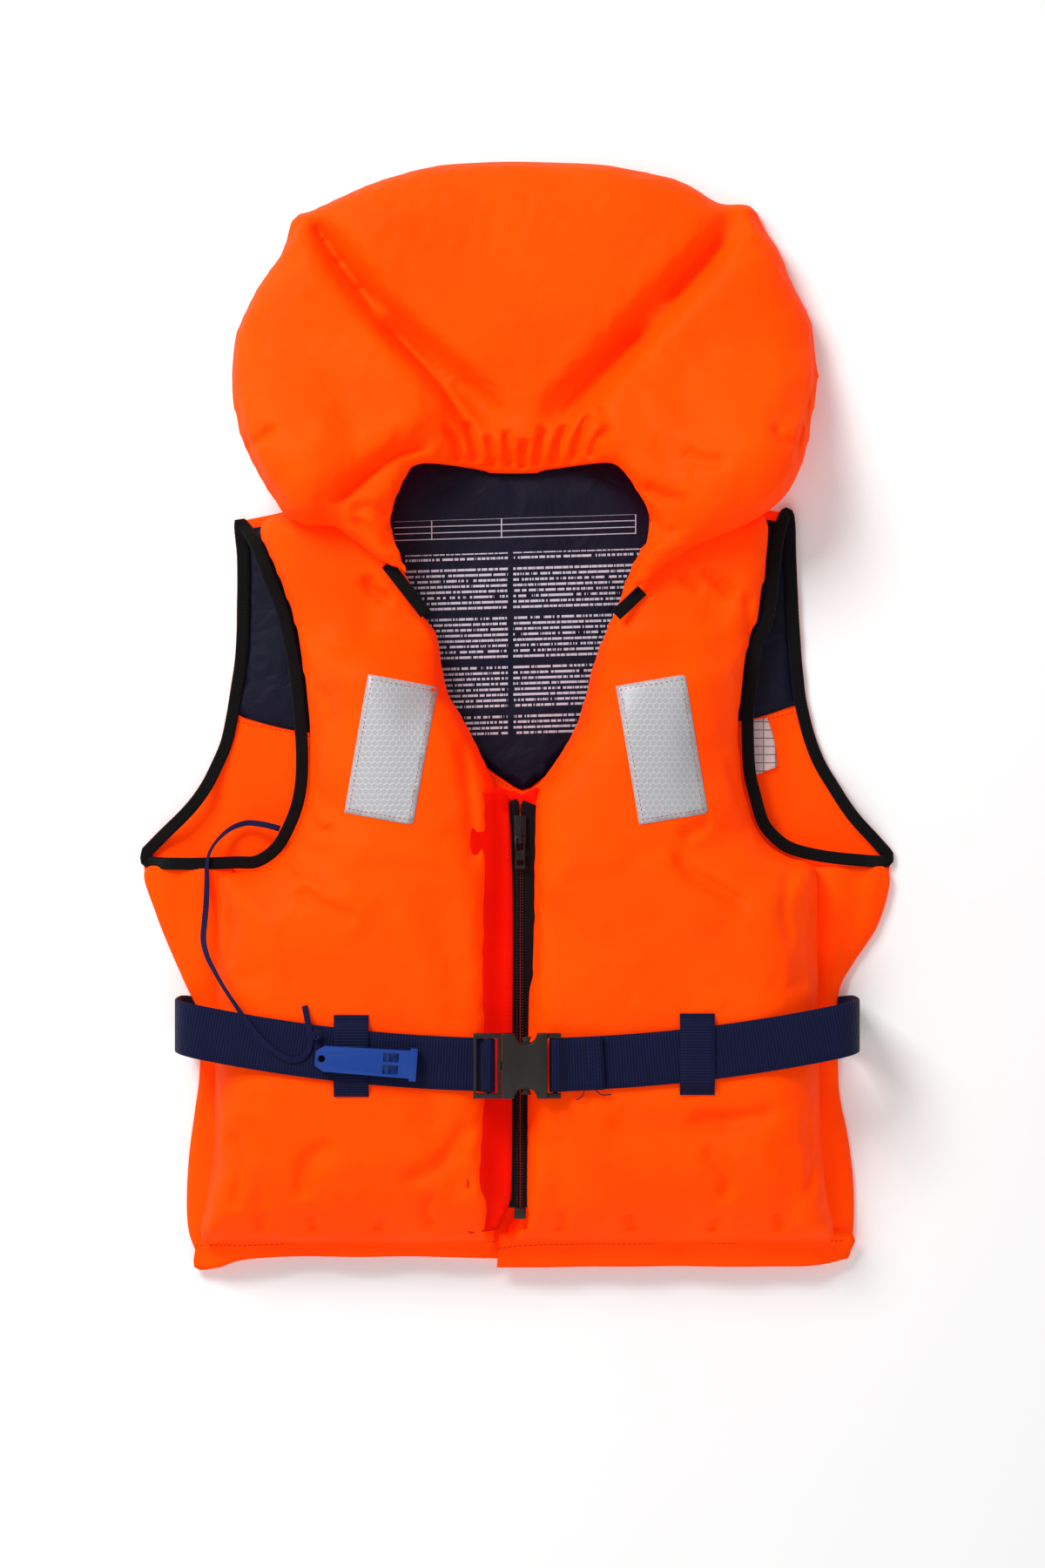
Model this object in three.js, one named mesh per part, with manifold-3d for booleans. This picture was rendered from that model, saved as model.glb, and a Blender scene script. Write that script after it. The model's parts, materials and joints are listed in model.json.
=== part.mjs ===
// A foam life jacket with a three-lobed collar, a front zip and a webbing belt, lying on its back.
// Millimetres, +Z up. X runs across the jacket, +X to the wearer's left; Y runs from hem to collar.
// The origin is on the surface that the back rests on, halfway across.

import * as THREE from "three";
import { mergeVertices } from "three/addons/utils/BufferGeometryUtils.js";
import Module from "manifold-3d";

const wasm = await Module();
wasm.setup();

// ---- Driving dimensions -------------------------------------------------------------------

const GAP = 0.3; // clearance between pieces that touch

// Torso, seen from the front
const HALF_WIDTH = 276; // centre line to the lowest corner of an armhole
const FOAM_HALF_WIDTH = 222; // centre line to the side edge of the front foam
const WAIST_HALF_WIDTH = 234; // centre line to the folded side under the belt
const HEM_Y = -404;
const ARMHOLE_LOW_Y = -113;
const SHOULDER_Y = 140;
const NECK_Y = 174;
const LAPEL_LOW_Y = -66; // where the two lapels meet at the zip
const CHEVRON_Y = -56; // lowest point of the navy lining
const ARMHOLE_LINING_Y = -4; // where the navy lining ends in the armholes
const ZIP_X = 2;
const COVER_EDGE_LEFT = 31; // centre line to the inner edge of the front cover on the -X side
const COVER_EDGE_RIGHT = 9;

// Heights above the surface that the back rests on
const FABRIC = 2; // shell fabric, with its seam allowance
const LINING = 1.5;
const TORSO_GAP = 14; // height of the front lining above the resting surface
const FRONT_THICKNESS = 56; // front cover, over its foam
const SHOULDER_THICKNESS = 24; // front cover under the collar
const EDGE_ROUND = 14; // rounding of the front cover's edges

// Collar
const COLLAR_TOP_Y = 404;
const COLLAR_HALF_WIDTH = 214;
const COLLAR_THICKNESS = 42;
const VALLEY_DEPTH = 16; // stitched fold between two lobes
const VALLEY_HALF_WIDTH = 13;
const FOAM_WALL_GAP = 1; // play between foam and cover

// Webbing
const BELT_WIDTH = 38;
const WEBBING = 1.8;
const BELT_Y = -251; // centre of the belt at the buckle
const BELT_RISE = 27; // rise of the belt from the buckle to the sides
const BELT_TURN_X = 205; // where the belt starts to turn round the side
const BELT_TURN_REACH = 40;
const BELT_CORNER = 36.2; // height over which the belt turns from flat to upright
const LOOP_WIDTH = 25;
const LOOP_X = { left: -118, right: 128 };
const BINDING_WIDTH = 9;
const BINDING_THICKNESS = 3;

// Zip
const ZIP_TOP_Y = -67;
const ZIP_LOW_GAP = 48; // hem to the bottom of the zip
const TOOTH_PITCH = 4;
const TOOTH_ROW = 3.4; // width of one row of teeth
const ROW_GAP = 1.6; // between the rows, where the slider's post runs
const ZIP_Z = 44; // underside of the tapes
const TEETH_THICKNESS = 3.6;
const SLIDER_LENGTH = 20;
const SLIDER_PLATE = 2;

// Buckle
const BUCKLE_THICKNESS = 11.8;
const BUCKLE_WALL = 2;
const SOCKET_X = { mouth: -11, body: 21.5, end: 31 };
const BUCKLE_ARM = 3.5; // side arms that carry the webbing bars
const BELT_PLAY = 0.5; // between the webbing's edge and a side arm

// Whistle
const WHISTLE_LENGTH = 72;
const WHISTLE_WIDTH = 18;
const WHISTLE_THICKNESS = 8;
const WHISTLE_TILT = -4; // degrees
const LANYARD_THICKNESS = 3;

// ---- Heights that follow ------------------------------------------------------------------

const BAND_LIFT = WEBBING + 3.2; // the back panel rides over the belt
const BACK_LINING_Z = FABRIC + GAP;
const COVER_Z = TORSO_GAP + LINING + GAP;
const FRONT_TOP = COVER_Z + FRONT_THICKNESS;
const SHOULDER_TOP = COVER_Z + SHOULDER_THICKNESS;
const BELT_LOW_Z = WEBBING / 2;
const BELT_TOP_Z = FRONT_TOP + 2 * GAP + WEBBING / 2;
const OVER_BELT_Z = BELT_TOP_Z + WEBBING / 2 + GAP;
const COLLAR_Z = FABRIC + 2 * GAP;
const COLLAR_LIFT = SHOULDER_TOP + 5.6 - COLLAR_Z;
const ZIP_BOTTOM_Y = HEM_Y + ZIP_LOW_GAP;
const BUCKLE_HALF_WIDTH = BELT_WIDTH / 2 + BELT_PLAY + BUCKLE_ARM;
const BAND_LOW = BELT_Y + BELT_RISE - BELT_WIDTH / 2 - 12; // the back panel is raised between these
const BAND_HIGH = BELT_Y + BELT_RISE + BELT_WIDTH / 2 + 5;

// ---- Solids -------------------------------------------------------------------------------

/** A three.js geometry as a solid that can be joined and cut. */
function solid(geometry) {
  const bare = geometry.clone();
  bare.deleteAttribute("normal");
  bare.deleteAttribute("uv");
  const merged = mergeVertices(bare, 1e-4);
  return new wasm.Manifold(new wasm.Mesh({
    numProp: 3,
    vertProperties: new Float32Array(merged.attributes.position.array),
    triVerts: new Uint32Array(merged.index.array),
  }));
}

/** The solid as a three.js geometry. */
function geometryOf(piece) {
  const mesh = piece.getMesh();
  const geometry = new THREE.BufferGeometry();
  geometry.setAttribute("position", new THREE.BufferAttribute(mesh.vertProperties, 3));
  geometry.setIndex(new THREE.BufferAttribute(mesh.triVerts, 1));
  geometry.computeVertexNormals();
  return geometry;
}

/** A closed outline: each leg is one point for a straight edge, or several for a smooth curve. */
function outline(start, ...legs) {
  const shape = new THREE.Shape();
  shape.moveTo(...start);
  for (const leg of legs) {
    if (leg.length === 1) shape.lineTo(...leg[0]);
    else shape.splineThru(leg.map(([x, y]) => new THREE.Vector2(x, y)));
  }
  return shape;
}

/** An outline raised from one height to another, drawn in by an inset. */
function prism(shape, low, high, inset = 0) {
  const geometry = new THREE.ExtrudeGeometry(shape, {
    depth: high - low,
    curveSegments: 2,
    bevelEnabled: inset > 0,
    bevelThickness: 0,
    bevelSize: 0,
    bevelOffset: -inset,
    bevelSegments: 0,
  });
  return solid(geometry.translate(0, 0, low));
}

/** An outline raised with a rounded upper edge. */
function pillow(shape, low, high, round, inset = 0) {
  const geometry = new THREE.ExtrudeGeometry(shape, {
    depth: high - low,
    curveSegments: 2,
    bevelThickness: round,
    bevelSize: round,
    bevelOffset: -round - inset,
    bevelSegments: 3,
  });
  const raised = solid(geometry.translate(0, 0, low - round));
  const below = block([-500, -500, low - 2 * round - 1], [500, 500, low]);
  return raised.subtract(below);
}

/** A box between two corners. */
function block(low, high) {
  const size = high.map((value, i) => value - low[i]);
  const centre = high.map((value, i) => (value + low[i]) / 2);
  return solid(new THREE.BoxGeometry(...size).translate(...centre));
}

/** A slab over a rectangle, in steps along X and Y, whose faces follow two height functions. */
function slab([x0, y0], [x1, y1], [stepX, stepY], low, high) {
  const across = Math.max(1, Math.round((x1 - x0) / stepX));
  const along = Math.max(1, Math.round((y1 - y0) / stepY));
  const geometry = new THREE.BoxGeometry(x1 - x0, y1 - y0, 2, across, along, 1);
  geometry.translate((x0 + x1) / 2, (y0 + y1) / 2, 0);
  return solid(warped(geometry, (x, y, z) => [x, y, z > 0 ? high(x, y) : low(x, y)]));
}

/** The geometry with every point moved by a function. */
function warped(geometry, move) {
  const position = geometry.attributes.position;
  for (let i = 0; i < position.count; i += 1) {
    position.setXYZ(i, ...move(position.getX(i), position.getY(i), position.getZ(i)));
  }
  return geometry;
}

/** Webbing that follows a path in the plane of its edge, as wide as its depth along the third axis. */
function ribbon(points, thickness, width) {
  const path = new THREE.CatmullRomCurve3(points.map(([a, b]) => new THREE.Vector3(a, b, 0)),
    false, "catmullrom", 0.35);
  const steps = points.length * 2;
  const sides = [[], []];
  for (let i = 0; i <= steps; i += 1) {
    const at = path.getPoint(i / steps);
    const along = path.getTangent(i / steps);
    sides.forEach((side, k) => {
      const offset = (k ? -0.5 : 0.5) * thickness;
      side.push(new THREE.Vector2(at.x - along.y * offset, at.y + along.x * offset));
    });
  }
  const shape = new THREE.Shape([...sides[0], ...sides[1].reverse()]);
  const geometry = new THREE.ExtrudeGeometry(shape, { depth: width, bevelEnabled: false });
  return geometry.translate(0, 0, -width / 2);
}

/** 0 below the first value, 1 above the second, smooth between; the values may run either way. */
function smooth(from, to, value) {
  const t = Math.min(Math.max((value - from) / (to - from), 0), 1);
  return t * t * (3 - 2 * t);
}

const materials = {
  shell: { color: 0xff5a00, roughness: 0.62 },
  lining: { color: 0x14102d, roughness: 0.7 },
  foam: { color: 0xe8e6df, roughness: 0.9 },
  binding: { color: 0x0b0b0d, roughness: 0.8 },
  webbing: { color: 0x1c2150, roughness: 0.75 },
  plastic: { color: 0x2b2420, roughness: 0.4 },
  blue: { color: 0x053c96, roughness: 0.35 },
  reflective: { color: 0xbebebe, roughness: 0.4, metalness: 0.2 },
  label: { color: 0xf3eeee, roughness: 0.7 },
};

const jacket = new THREE.Group();

/** Adds a piece to the jacket. */
function add(name, piece, finish) {
  const material = new THREE.MeshStandardMaterial({ metalness: 0, ...materials[finish] });
  const mesh = new THREE.Mesh(piece.isBufferGeometry ? piece : geometryOf(piece), material);
  mesh.name = name;
  jacket.add(mesh);
}

const SIDES = [["left", -1], ["right", 1]]; // as seen from the front

// ---- Outlines -----------------------------------------------------------------------------

/** The points of a run, carried to one side of the jacket. */
function onSide(side, points) {
  return points.map(([x, y]) => [x * side, y]);
}

const ARM_BACK = [ // armhole edge of the back, from the shoulder down
  [205, 88], [207, 50], [219, -8], [234, -53], [HALF_WIDTH - 13, -87],
  [HALF_WIDTH, ARMHOLE_LOW_Y + 12], [HALF_WIDTH - 4, ARMHOLE_LOW_Y]];
const ARM_FRONT = [ // armhole edge of the front, from the bottom up
  [226, ARMHOLE_LOW_Y + 1], [195, ARMHOLE_LOW_Y + 4], [178, ARMHOLE_LOW_Y + 14], [168, -82],
  [158, -36], [158, 1], [168, 62], [183, 114], [190, SHOULDER_Y - 2]];
const SIDE_EDGE = [ // folded side of the torso, from the armhole down
  [HALF_WIDTH - 14, -151], [WAIST_HALF_WIDTH + 11, BAND_HIGH + 15],
  [WAIST_HALF_WIDTH, BAND_HIGH - 8], [WAIST_HALF_WIDTH - 2, BAND_LOW - 1],
  [WAIST_HALF_WIDTH + 4, -306], [WAIST_HALF_WIDTH + 9, -350],
  [WAIST_HALF_WIDTH + 5, HEM_Y + 8]];

function armholeOutline(side) {
  return outline([201 * side, SHOULDER_Y + 5], onSide(side, ARM_BACK), onSide(side, ARM_FRONT),
    [[201 * side, SHOULDER_Y + 5]]);
}

function backOutline() {
  const right = [...ARM_BACK, ...SIDE_EDGE];
  const left = onSide(-1, right).reverse();
  const seam = NECK_Y - 2 * GAP; // clear of the collar
  const neck = [[68, seam + 4], [80, NECK_Y - 13], [150, SHOULDER_Y + 10], [201, SHOULDER_Y + 5]];
  return outline([0, seam], neck, right, [[0, HEM_Y]], [left[0]], left.slice(1),
    [...onSide(-1, neck).reverse(), [0, seam]]);
}

/** The outline of one front, between its zip edge, its lapel, its armhole and its side seam. */
function frontOutline(side, edge, clear) {
  const lapel = [[Math.max(16, edge + 2), -45], [35, -7], [52, 42], [72, 78], [88, SHOULDER_Y - 34]];
  const arm = ARM_FRONT.slice(1, -1).reverse().map(([x, y]) => [x - clear, y - 5 * GAP]);
  return outline([edge * side, LAPEL_LOW_Y], onSide(side, lapel),
    onSide(side, [[120, SHOULDER_Y - 14], [154, SHOULDER_Y - 4]]),
    onSide(side, [[186 - clear, SHOULDER_Y - 2]]), onSide(side, [arm[0]]), onSide(side, arm.slice(1)),
    onSide(side, [[FOAM_HALF_WIDTH, ARMHOLE_LOW_Y - 2]]),
    onSide(side, [[FOAM_HALF_WIDTH, -256], [FOAM_HALF_WIDTH + 3, -325],
      [FOAM_HALF_WIDTH + 10, HEM_Y + 14]]),
    onSide(side, [[edge, HEM_Y + 4]]), onSide(side, [[edge, LAPEL_LOW_Y]]));
}

const NECK_EDGE = [[90, 133], [82, NECK_Y - 12], [68, NECK_Y + 4]];
const COLLAR_SIDE = [ // from the top of the collar round to its front tip
  [65, COLLAR_TOP_Y - 5], [112, COLLAR_TOP_Y - 18], [147, COLLAR_TOP_Y - 36], [172, 360],
  [178, 343], [200, 305], [COLLAR_HALF_WIDTH, 262], [COLLAR_HALF_WIDTH - 2, 224], [200, 180],
  [178, 150], [134, 124], [100, 106], [76, 90]];

function collarOutline() {
  const left = onSide(-1, COLLAR_SIDE).reverse();
  return outline([0, COLLAR_TOP_Y], COLLAR_SIDE, [...NECK_EDGE, [0, NECK_Y]],
    [...onSide(-1, NECK_EDGE).reverse(), left[0]], [...left.slice(1), [0, COLLAR_TOP_Y]]);
}

// ---- Torso --------------------------------------------------------------------------------

/** The height of the back panel's underside, which rises over the belt. */
function backLow(x, y) {
  const rise = smooth(BAND_LOW - 14, BAND_LOW, y) * smooth(BAND_HIGH + 14, BAND_HIGH, y);
  return BAND_LIFT * rise;
}

function buildBack() {
  const sheet = slab([-300, HEM_Y - 5], [300, 196], [600, 7], backLow, (x, y) => backLow(x, y) + FABRIC);
  add("back_panel", sheet.intersect(prism(backOutline(), -5, 20)), "shell");
  const navy = outline([-230, ARMHOLE_LINING_Y], [[-60, ARMHOLE_LINING_Y - 2]], [[0, CHEVRON_Y]],
    [[60, ARMHOLE_LINING_Y - 2]], [[230, ARMHOLE_LINING_Y]], [[230, NECK_Y + 20]],
    [[-230, NECK_Y + 20]]);
  const inside = prism(backOutline(), BACK_LINING_Z, BACK_LINING_Z + LINING, BINDING_WIDTH + 1);
  add("back_lining", inside.intersect(prism(navy, 0, 20)), "lining");
}

/** The top of a front cover: full over the chest, thin where it passes under the collar. */
function coverTop(x, y) {
  return FRONT_TOP + 2 + (SHOULDER_TOP - FRONT_TOP - 2) * smooth(30, 64, y);
}

/** A front cover's outer form, drawn in all round by an inset. */
function frontForm(side, edge, low, inset) {
  const body = pillow(frontOutline(side, edge, 4 * GAP), low, FRONT_TOP - inset, EDGE_ROUND - inset, inset);
  const x = [-245, 0].map((value) => (side < 0 ? value : value + 245));
  const above = slab([x[0], 20], [x[1], 200], [245, 8], (a, b) => coverTop(a, b) - inset, () => 200);
  return body.subtract(above);
}

/** The front lining: flat under the foam, and down to the back panel at the shoulder seam. */
function frontLiningLow(x, y) {
  return TORSO_GAP - (TORSO_GAP - BACK_LINING_Z - LINING - GAP) * smooth(112, 134, y);
}

function buildFront(name, side, edge) {
  const cavity = frontForm(side, edge, COVER_Z - 5, FABRIC);
  const cover = frontForm(side, edge, COVER_Z, 0).subtract(cavity);
  add(`front_cover_${name}`, cover, "shell");
  add(`front_foam_${name}`, frontForm(side, edge, COVER_Z, FABRIC + FOAM_WALL_GAP), "foam");
  const x = side < 0 ? [-240, 0] : [0, 240];
  const sheet = slab([x[0], HEM_Y - 5], [x[1], 196], [240, 8], frontLiningLow,
    (a, b) => frontLiningLow(a, b) + LINING);
  const shape = frontOutline(side, edge, BINDING_WIDTH + GAP);
  add(`front_lining_${name}`, sheet.intersect(prism(shape, -5, 40)), "lining");
}

/** The lower edge of a side panel, which falls from the front foam to the folded side. */
function sidePanelLow(x) {
  const fold = BAND_LIFT + FABRIC + GAP;
  return fold + (COVER_Z - fold) * smooth(WAIST_HALF_WIDTH, FOAM_HALF_WIDTH + GAP, Math.abs(x));
}

function buildSidePanel(name, side) {
  const seam = [[FOAM_HALF_WIDTH + 10 + GAP, HEM_Y + 14], [FOAM_HALF_WIDTH + 3 + GAP, -325],
    [FOAM_HALF_WIDTH + GAP, -256]];
  const shape = outline([(FOAM_HALF_WIDTH + GAP) * side, ARMHOLE_LOW_Y - 4],
    onSide(side, [[HALF_WIDTH - 6, ARMHOLE_LOW_Y - 4]]), onSide(side, SIDE_EDGE),
    onSide(side, seam), onSide(side, [[FOAM_HALF_WIDTH + GAP, ARMHOLE_LOW_Y - 4]]));
  const x = side < 0 ? [-300, -210] : [210, 300];
  const sheet = slab([x[0], HEM_Y - 5], [x[1], ARMHOLE_LOW_Y + 5], [6, 400], sidePanelLow,
    (a) => sidePanelLow(a) + LINING);
  add(`side_panel_${name}`, sheet.intersect(prism(shape, -5, 40)), "shell");
}

/** The height of the armhole binding: low on the back panel, higher along the front. */
function bindingLow(x, y) {
  const back = 205 + (HALF_WIDTH - 210) * smooth(0, ARMHOLE_LOW_Y + 8, y);
  return FABRIC + GAP + (COVER_Z - FABRIC - GAP) * smooth(back, back - 22, Math.abs(x));
}

function buildArmholeBinding(name, side) {
  const ring = prism(armholeOutline(side), 0, BINDING_THICKNESS)
    .subtract(prism(armholeOutline(side), -1, BINDING_THICKNESS + 1, BINDING_WIDTH));
  const geometry = warped(geometryOf(ring), (x, y, z) => [x, y, z + bindingLow(x, y)]);
  geometry.computeVertexNormals();
  add(`armhole_binding_${name}`, geometry, "binding");
}

// ---- Collar -------------------------------------------------------------------------------

const COLLAR_STEP = 18;
const VALLEY = [new THREE.Vector3(153, 355, 0), new THREE.Vector3(8, 200, 0)];

/** The underside of the collar: on the resting surface at the back, over the shoulders in front. */
function collarLow(x, y) {
  return COLLAR_Z + COLLAR_LIFT * smooth(275, 175, y) * smooth(20, 78, Math.abs(x));
}

/** The top of the collar, with the two stitched folds between its lobes. */
function collarTop(x, y) {
  const line = new THREE.Line3(...VALLEY);
  const point = new THREE.Vector3(Math.abs(x), y, 0);
  const distance = line.closestPointToPoint(point, true, new THREE.Vector3()).distanceTo(point);
  const fold = VALLEY_DEPTH * Math.exp(-((distance / VALLEY_HALF_WIDTH) ** 2));
  return collarLow(x, y) + COLLAR_THICKNESS - fold;
}

/** The collar's form between offsets from its lower and upper faces, drawn in by an inset. */
function collarForm(lowOffset, topOffset, inset) {
  const body = slab([-230, 70], [230, 425], [COLLAR_STEP, COLLAR_STEP], (x, y) => collarLow(x, y) + lowOffset,
    (x, y) => collarTop(x, y) - topOffset);
  return body.intersect(prism(collarOutline(), -50, 200, inset));
}

/** A wedge of the collar between the valleys, or outside one of them. */
function lobe(name) {
  const clear = FABRIC + FOAM_WALL_GAP;
  const [far, near] = VALLEY;
  const fan = [[near.x - clear, near.y - 60], [near.x - clear, near.y], [far.x - clear, far.y + clear],
    [far.x + 60, far.y + 130]];
  if (name === "centre") {
    return new THREE.Shape([...fan, ...onSide(-1, fan).reverse()].map((p) => new THREE.Vector2(...p)));
  }
  const side = name === "left" ? -1 : 1;
  const wing = [[near.x + clear, near.y - 140], [near.x + clear, near.y - clear],
    [far.x + clear, far.y - clear], [far.x + 160, far.y + 90], [300, near.y - 140]];
  return new THREE.Shape(onSide(side, wing).map((p) => new THREE.Vector2(...p)));
}

function buildCollar() {
  const cavity = collarForm(-5, FABRIC, FABRIC);
  add("collar_cover", collarForm(0, 0, 0).subtract(cavity), "shell");
  const underside = slab([-230, 70], [230, 425], [COLLAR_STEP, COLLAR_STEP], (x, y) => collarLow(x, y) - COLLAR_Z,
    (x, y) => collarLow(x, y) - COLLAR_Z + FABRIC);
  add("collar_underside", underside.intersect(prism(collarOutline(), -50, 200)), "shell");
  const clear = FABRIC + FOAM_WALL_GAP;
  for (const name of ["centre", "left", "right"]) {
    const foam = collarForm(clear, clear, clear).intersect(prism(lobe(name), -50, 200));
    add(`collar_foam_${name}`, foam, "foam");
  }
  for (const [name, side] of SIDES) {
    const tape = new THREE.BoxGeometry(40, BINDING_WIDTH, 1);
    tape.rotateZ(THREE.MathUtils.degToRad(-side * -53));
    tape.translate(80 * side, 88, SHOULDER_TOP + GAP + 0.5);
    add(`collar_binding_${name}`, tape, "binding");
  }
}

// ---- Zip ----------------------------------------------------------------------------------

const ROW_EDGE = ROW_GAP / 2; // from the zip's centre line to the tips of the teeth
const ROW_BACK = ROW_EDGE + TOOTH_ROW;
const TEETH_Z = ZIP_Z + 0.5 - TEETH_THICKNESS / 2;

/** One row of teeth on its bead, with the tape beside it. */
function buildZipSide(name, side, tapeEdge) {
  const end = ZIP_BOTTOM_Y;
  const start = ZIP_TOP_Y - 10;
  const bead = ROW_BACK - 1.2;
  const points = [[ROW_BACK, start], [ROW_BACK, end]];
  const count = Math.floor((start - end) / TOOTH_PITCH);
  const shift = side < 0 ? 0 : TOOTH_PITCH / 2;
  for (let i = 0; i < count; i += 1) {
    const y = start - (count - i - 1) * TOOTH_PITCH - TOOTH_PITCH + shift * 0.9;
    points.push([bead, y], [ROW_EDGE, y], [ROW_EDGE, y + TOOTH_PITCH * 0.45],
      [bead, y + TOOTH_PITCH * 0.45]);
  }
  points.push([bead, start]);
  const shape = new THREE.Shape(points.map(([x, y]) => new THREE.Vector2(x * side + ZIP_X, y)));
  add(`zip_teeth_${name}`, prism(shape, TEETH_Z, TEETH_Z + TEETH_THICKNESS), "binding");
  const inner = ZIP_X + side * (ROW_BACK + GAP);
  const xs = [inner, tapeEdge].sort((a, b) => a - b);
  add(`zip_tape_${name}`, block([xs[0], end, ZIP_Z], [xs[1], ZIP_TOP_Y, ZIP_Z + 1]), "binding");
}

function buildZip() {
  buildZipSide("left", -1, -COVER_EDGE_LEFT / 2);
  buildZipSide("right", 1, COVER_EDGE_RIGHT - GAP);
  const facing = block([-COVER_EDGE_LEFT + GAP, HEM_Y + 4, ZIP_Z + 1 + GAP],
    [ZIP_X - ROW_BACK - 1.2, ZIP_TOP_Y, ZIP_Z + 1 + GAP + LINING]);
  add("zip_facing", facing, "shell");
  const box = block([ZIP_X - ROW_BACK, ZIP_BOTTOM_Y - 8, TEETH_Z - 1],
    [ZIP_X + ROW_BACK, ZIP_BOTTOM_Y - GAP, TEETH_Z + TEETH_THICKNESS + 1]);
  add("zip_box", box, "plastic");
}

const SLIDER_TOP_Y = ZIP_TOP_Y - 7;
const SLIDER_Z = TEETH_Z + TEETH_THICKNESS + GAP; // underside of the slider's upper plate
const PULL_Y = SLIDER_TOP_Y - SLIDER_LENGTH + 4; // axis of the puller's crossbar
const PULL_Z = SLIDER_Z + SLIDER_PLATE + GAP + 0.9;
const PULLER = { halfWidth: 3.7, length: 22, tab: 9.5, thickness: 1.4 };

function buildSlider() {
  const half = ROW_BACK + 0.2;
  const y = [SLIDER_TOP_Y - SLIDER_LENGTH, SLIDER_TOP_Y];
  const upper = block([ZIP_X - half, y[0], SLIDER_Z], [ZIP_X + half, y[1], SLIDER_Z + SLIDER_PLATE]);
  const lower = block([ZIP_X - half, y[0], TEETH_Z - GAP - SLIDER_PLATE],
    [ZIP_X + half, y[1], TEETH_Z - GAP]);
  const post = block([ZIP_X - 0.5, y[1] - 4, TEETH_Z - 1], [ZIP_X + 0.5, y[1], SLIDER_Z + 1]);
  const bridgeTop = PULL_Z + 1.2;
  const bridge = block([ZIP_X - 1, PULL_Y - 3.2, SLIDER_Z + 1], [ZIP_X + 1, PULL_Y + 7, bridgeTop + 1.4])
    .subtract(block([ZIP_X - 2, PULL_Y - 1.7, SLIDER_Z + SLIDER_PLATE], [ZIP_X + 2, PULL_Y + 5.5, bridgeTop]));
  add("zip_slider", upper.add(lower).add(post).add(bridge), "plastic");
  const { halfWidth, length, tab, thickness } = PULLER;
  const low = PULL_Z - thickness / 2;
  const high = PULL_Z + thickness / 2;
  const puller = block([ZIP_X - halfWidth, PULL_Y - length, low], [ZIP_X + halfWidth, PULL_Y + 0.7, high])
    .subtract(block([ZIP_X - 2.4, PULL_Y - tab, low - 1], [ZIP_X + 2.4, PULL_Y - 0.7, high + 1]))
    .subtract(block([ZIP_X - 2.4, PULL_Y - length + 2, low - 1],
      [ZIP_X + 2.4, PULL_Y - length + 6, high + 1]));
  add("zip_puller", puller, "plastic");
}

// ---- Belt and buckle ----------------------------------------------------------------------

/** How far up the jacket the belt's centre lies. */
function beltY(x, z) {
  const reach = z > BELT_TOP_Z / 2 ? Math.abs(x) : Math.max(Math.abs(x), BELT_TURN_X);
  return BELT_Y + BELT_RISE * (reach / (BELT_TURN_X + BELT_TURN_REACH)) ** 2;
}

/** Webbing along a path of [x, z] points, its centre following the belt line. */
function beltRibbon(path, width = BELT_WIDTH) {
  const geometry = ribbon(path, WEBBING, width);
  return warped(geometry, (a, b, c) => [a, beltY(a, b) - c, b]);
}

/** The belt's turn round one side: a squared-off arc between the front and the floor. */
function beltTurn(side) {
  const middle = (BELT_TOP_Z + BELT_LOW_Z) / 2;
  const reach = (BELT_TOP_Z - BELT_LOW_Z) / 2;
  const corner = Math.min(BELT_CORNER, reach);
  const points = [];
  for (let i = 0; i <= 12; i += 1) {
    const angle = (i / 12) * Math.PI;
    const across = Math.sqrt(Math.abs(Math.sin(angle)));
    const up = reach - corner + corner * Math.sqrt(Math.abs(Math.cos(angle)));
    points.push([side * (BELT_TURN_X + BELT_TURN_REACH * across), middle + up * Math.sign(6 - i)]);
  }
  return side < 0 ? points : points.reverse();
}

const BUCKLE_Z = OVER_BELT_Z + GAP; // underside of the buckle
const BAR = { width: 3, low: BUCKLE_Z + 4.2, high: BUCKLE_Z + 7 };
const WRAP = WEBBING; // from a bar to the middle of the webbing round it
const PLUG_BAR_X = -21.5;
const SOCKET_BAR_X = 25.5;

function buildBelt() {
  const right = PLUG_BAR_X + BAR.width;
  const wrap = [[PLUG_BAR_X, BAR.low - WRAP], [right - 1, BAR.low - WRAP],
    [right + WRAP, BAR.low + 0.4], [right + WRAP, BAR.high - 0.4], [right - 1, BAR.high + WRAP],
    [PLUG_BAR_X - 0.5, BAR.high + WRAP - 0.2], [PLUG_BAR_X - 3.4, BAR.low + 0.6],
    [PLUG_BAR_X - 10, BELT_TOP_Z + 0.5], [PLUG_BAR_X - 18, BELT_TOP_Z]];
  const across = [100, 140, 170].map((x) => [-x, BELT_TOP_Z]);
  const under = [150, 75, 0, -75, -150].map((x) => [-x, BELT_LOW_Z]);
  const back = [...across].reverse().map(([x, z]) => [-x, z]);
  const belt = beltRibbon([...wrap, ...across, ...beltTurn(-1), ...under, ...beltTurn(1), ...back,
    [60, BELT_TOP_Z], [34, BELT_TOP_Z]]);
  add("belt", solid(belt), "webbing");
  const low = OVER_BELT_Z + WEBBING / 2;
  const sewn = [[61, low], [45, low], [32, low], [SOCKET_BAR_X + 1, BAR.low - WRAP],
    [SOCKET_BAR_X - WRAP, BAR.low + 0.4], [SOCKET_BAR_X - WRAP, BAR.high - 0.4],
    [SOCKET_BAR_X + 1, BAR.high + WRAP], [SOCKET_BAR_X + BAR.width + 1.1, BAR.high + 0.9],
    [33, BAR.low + 1], [39, low + WEBBING + 2 * GAP], [61, low + WEBBING + GAP]];
  add("belt_sewn_end", solid(beltRibbon(sewn)), "webbing");
}

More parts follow.
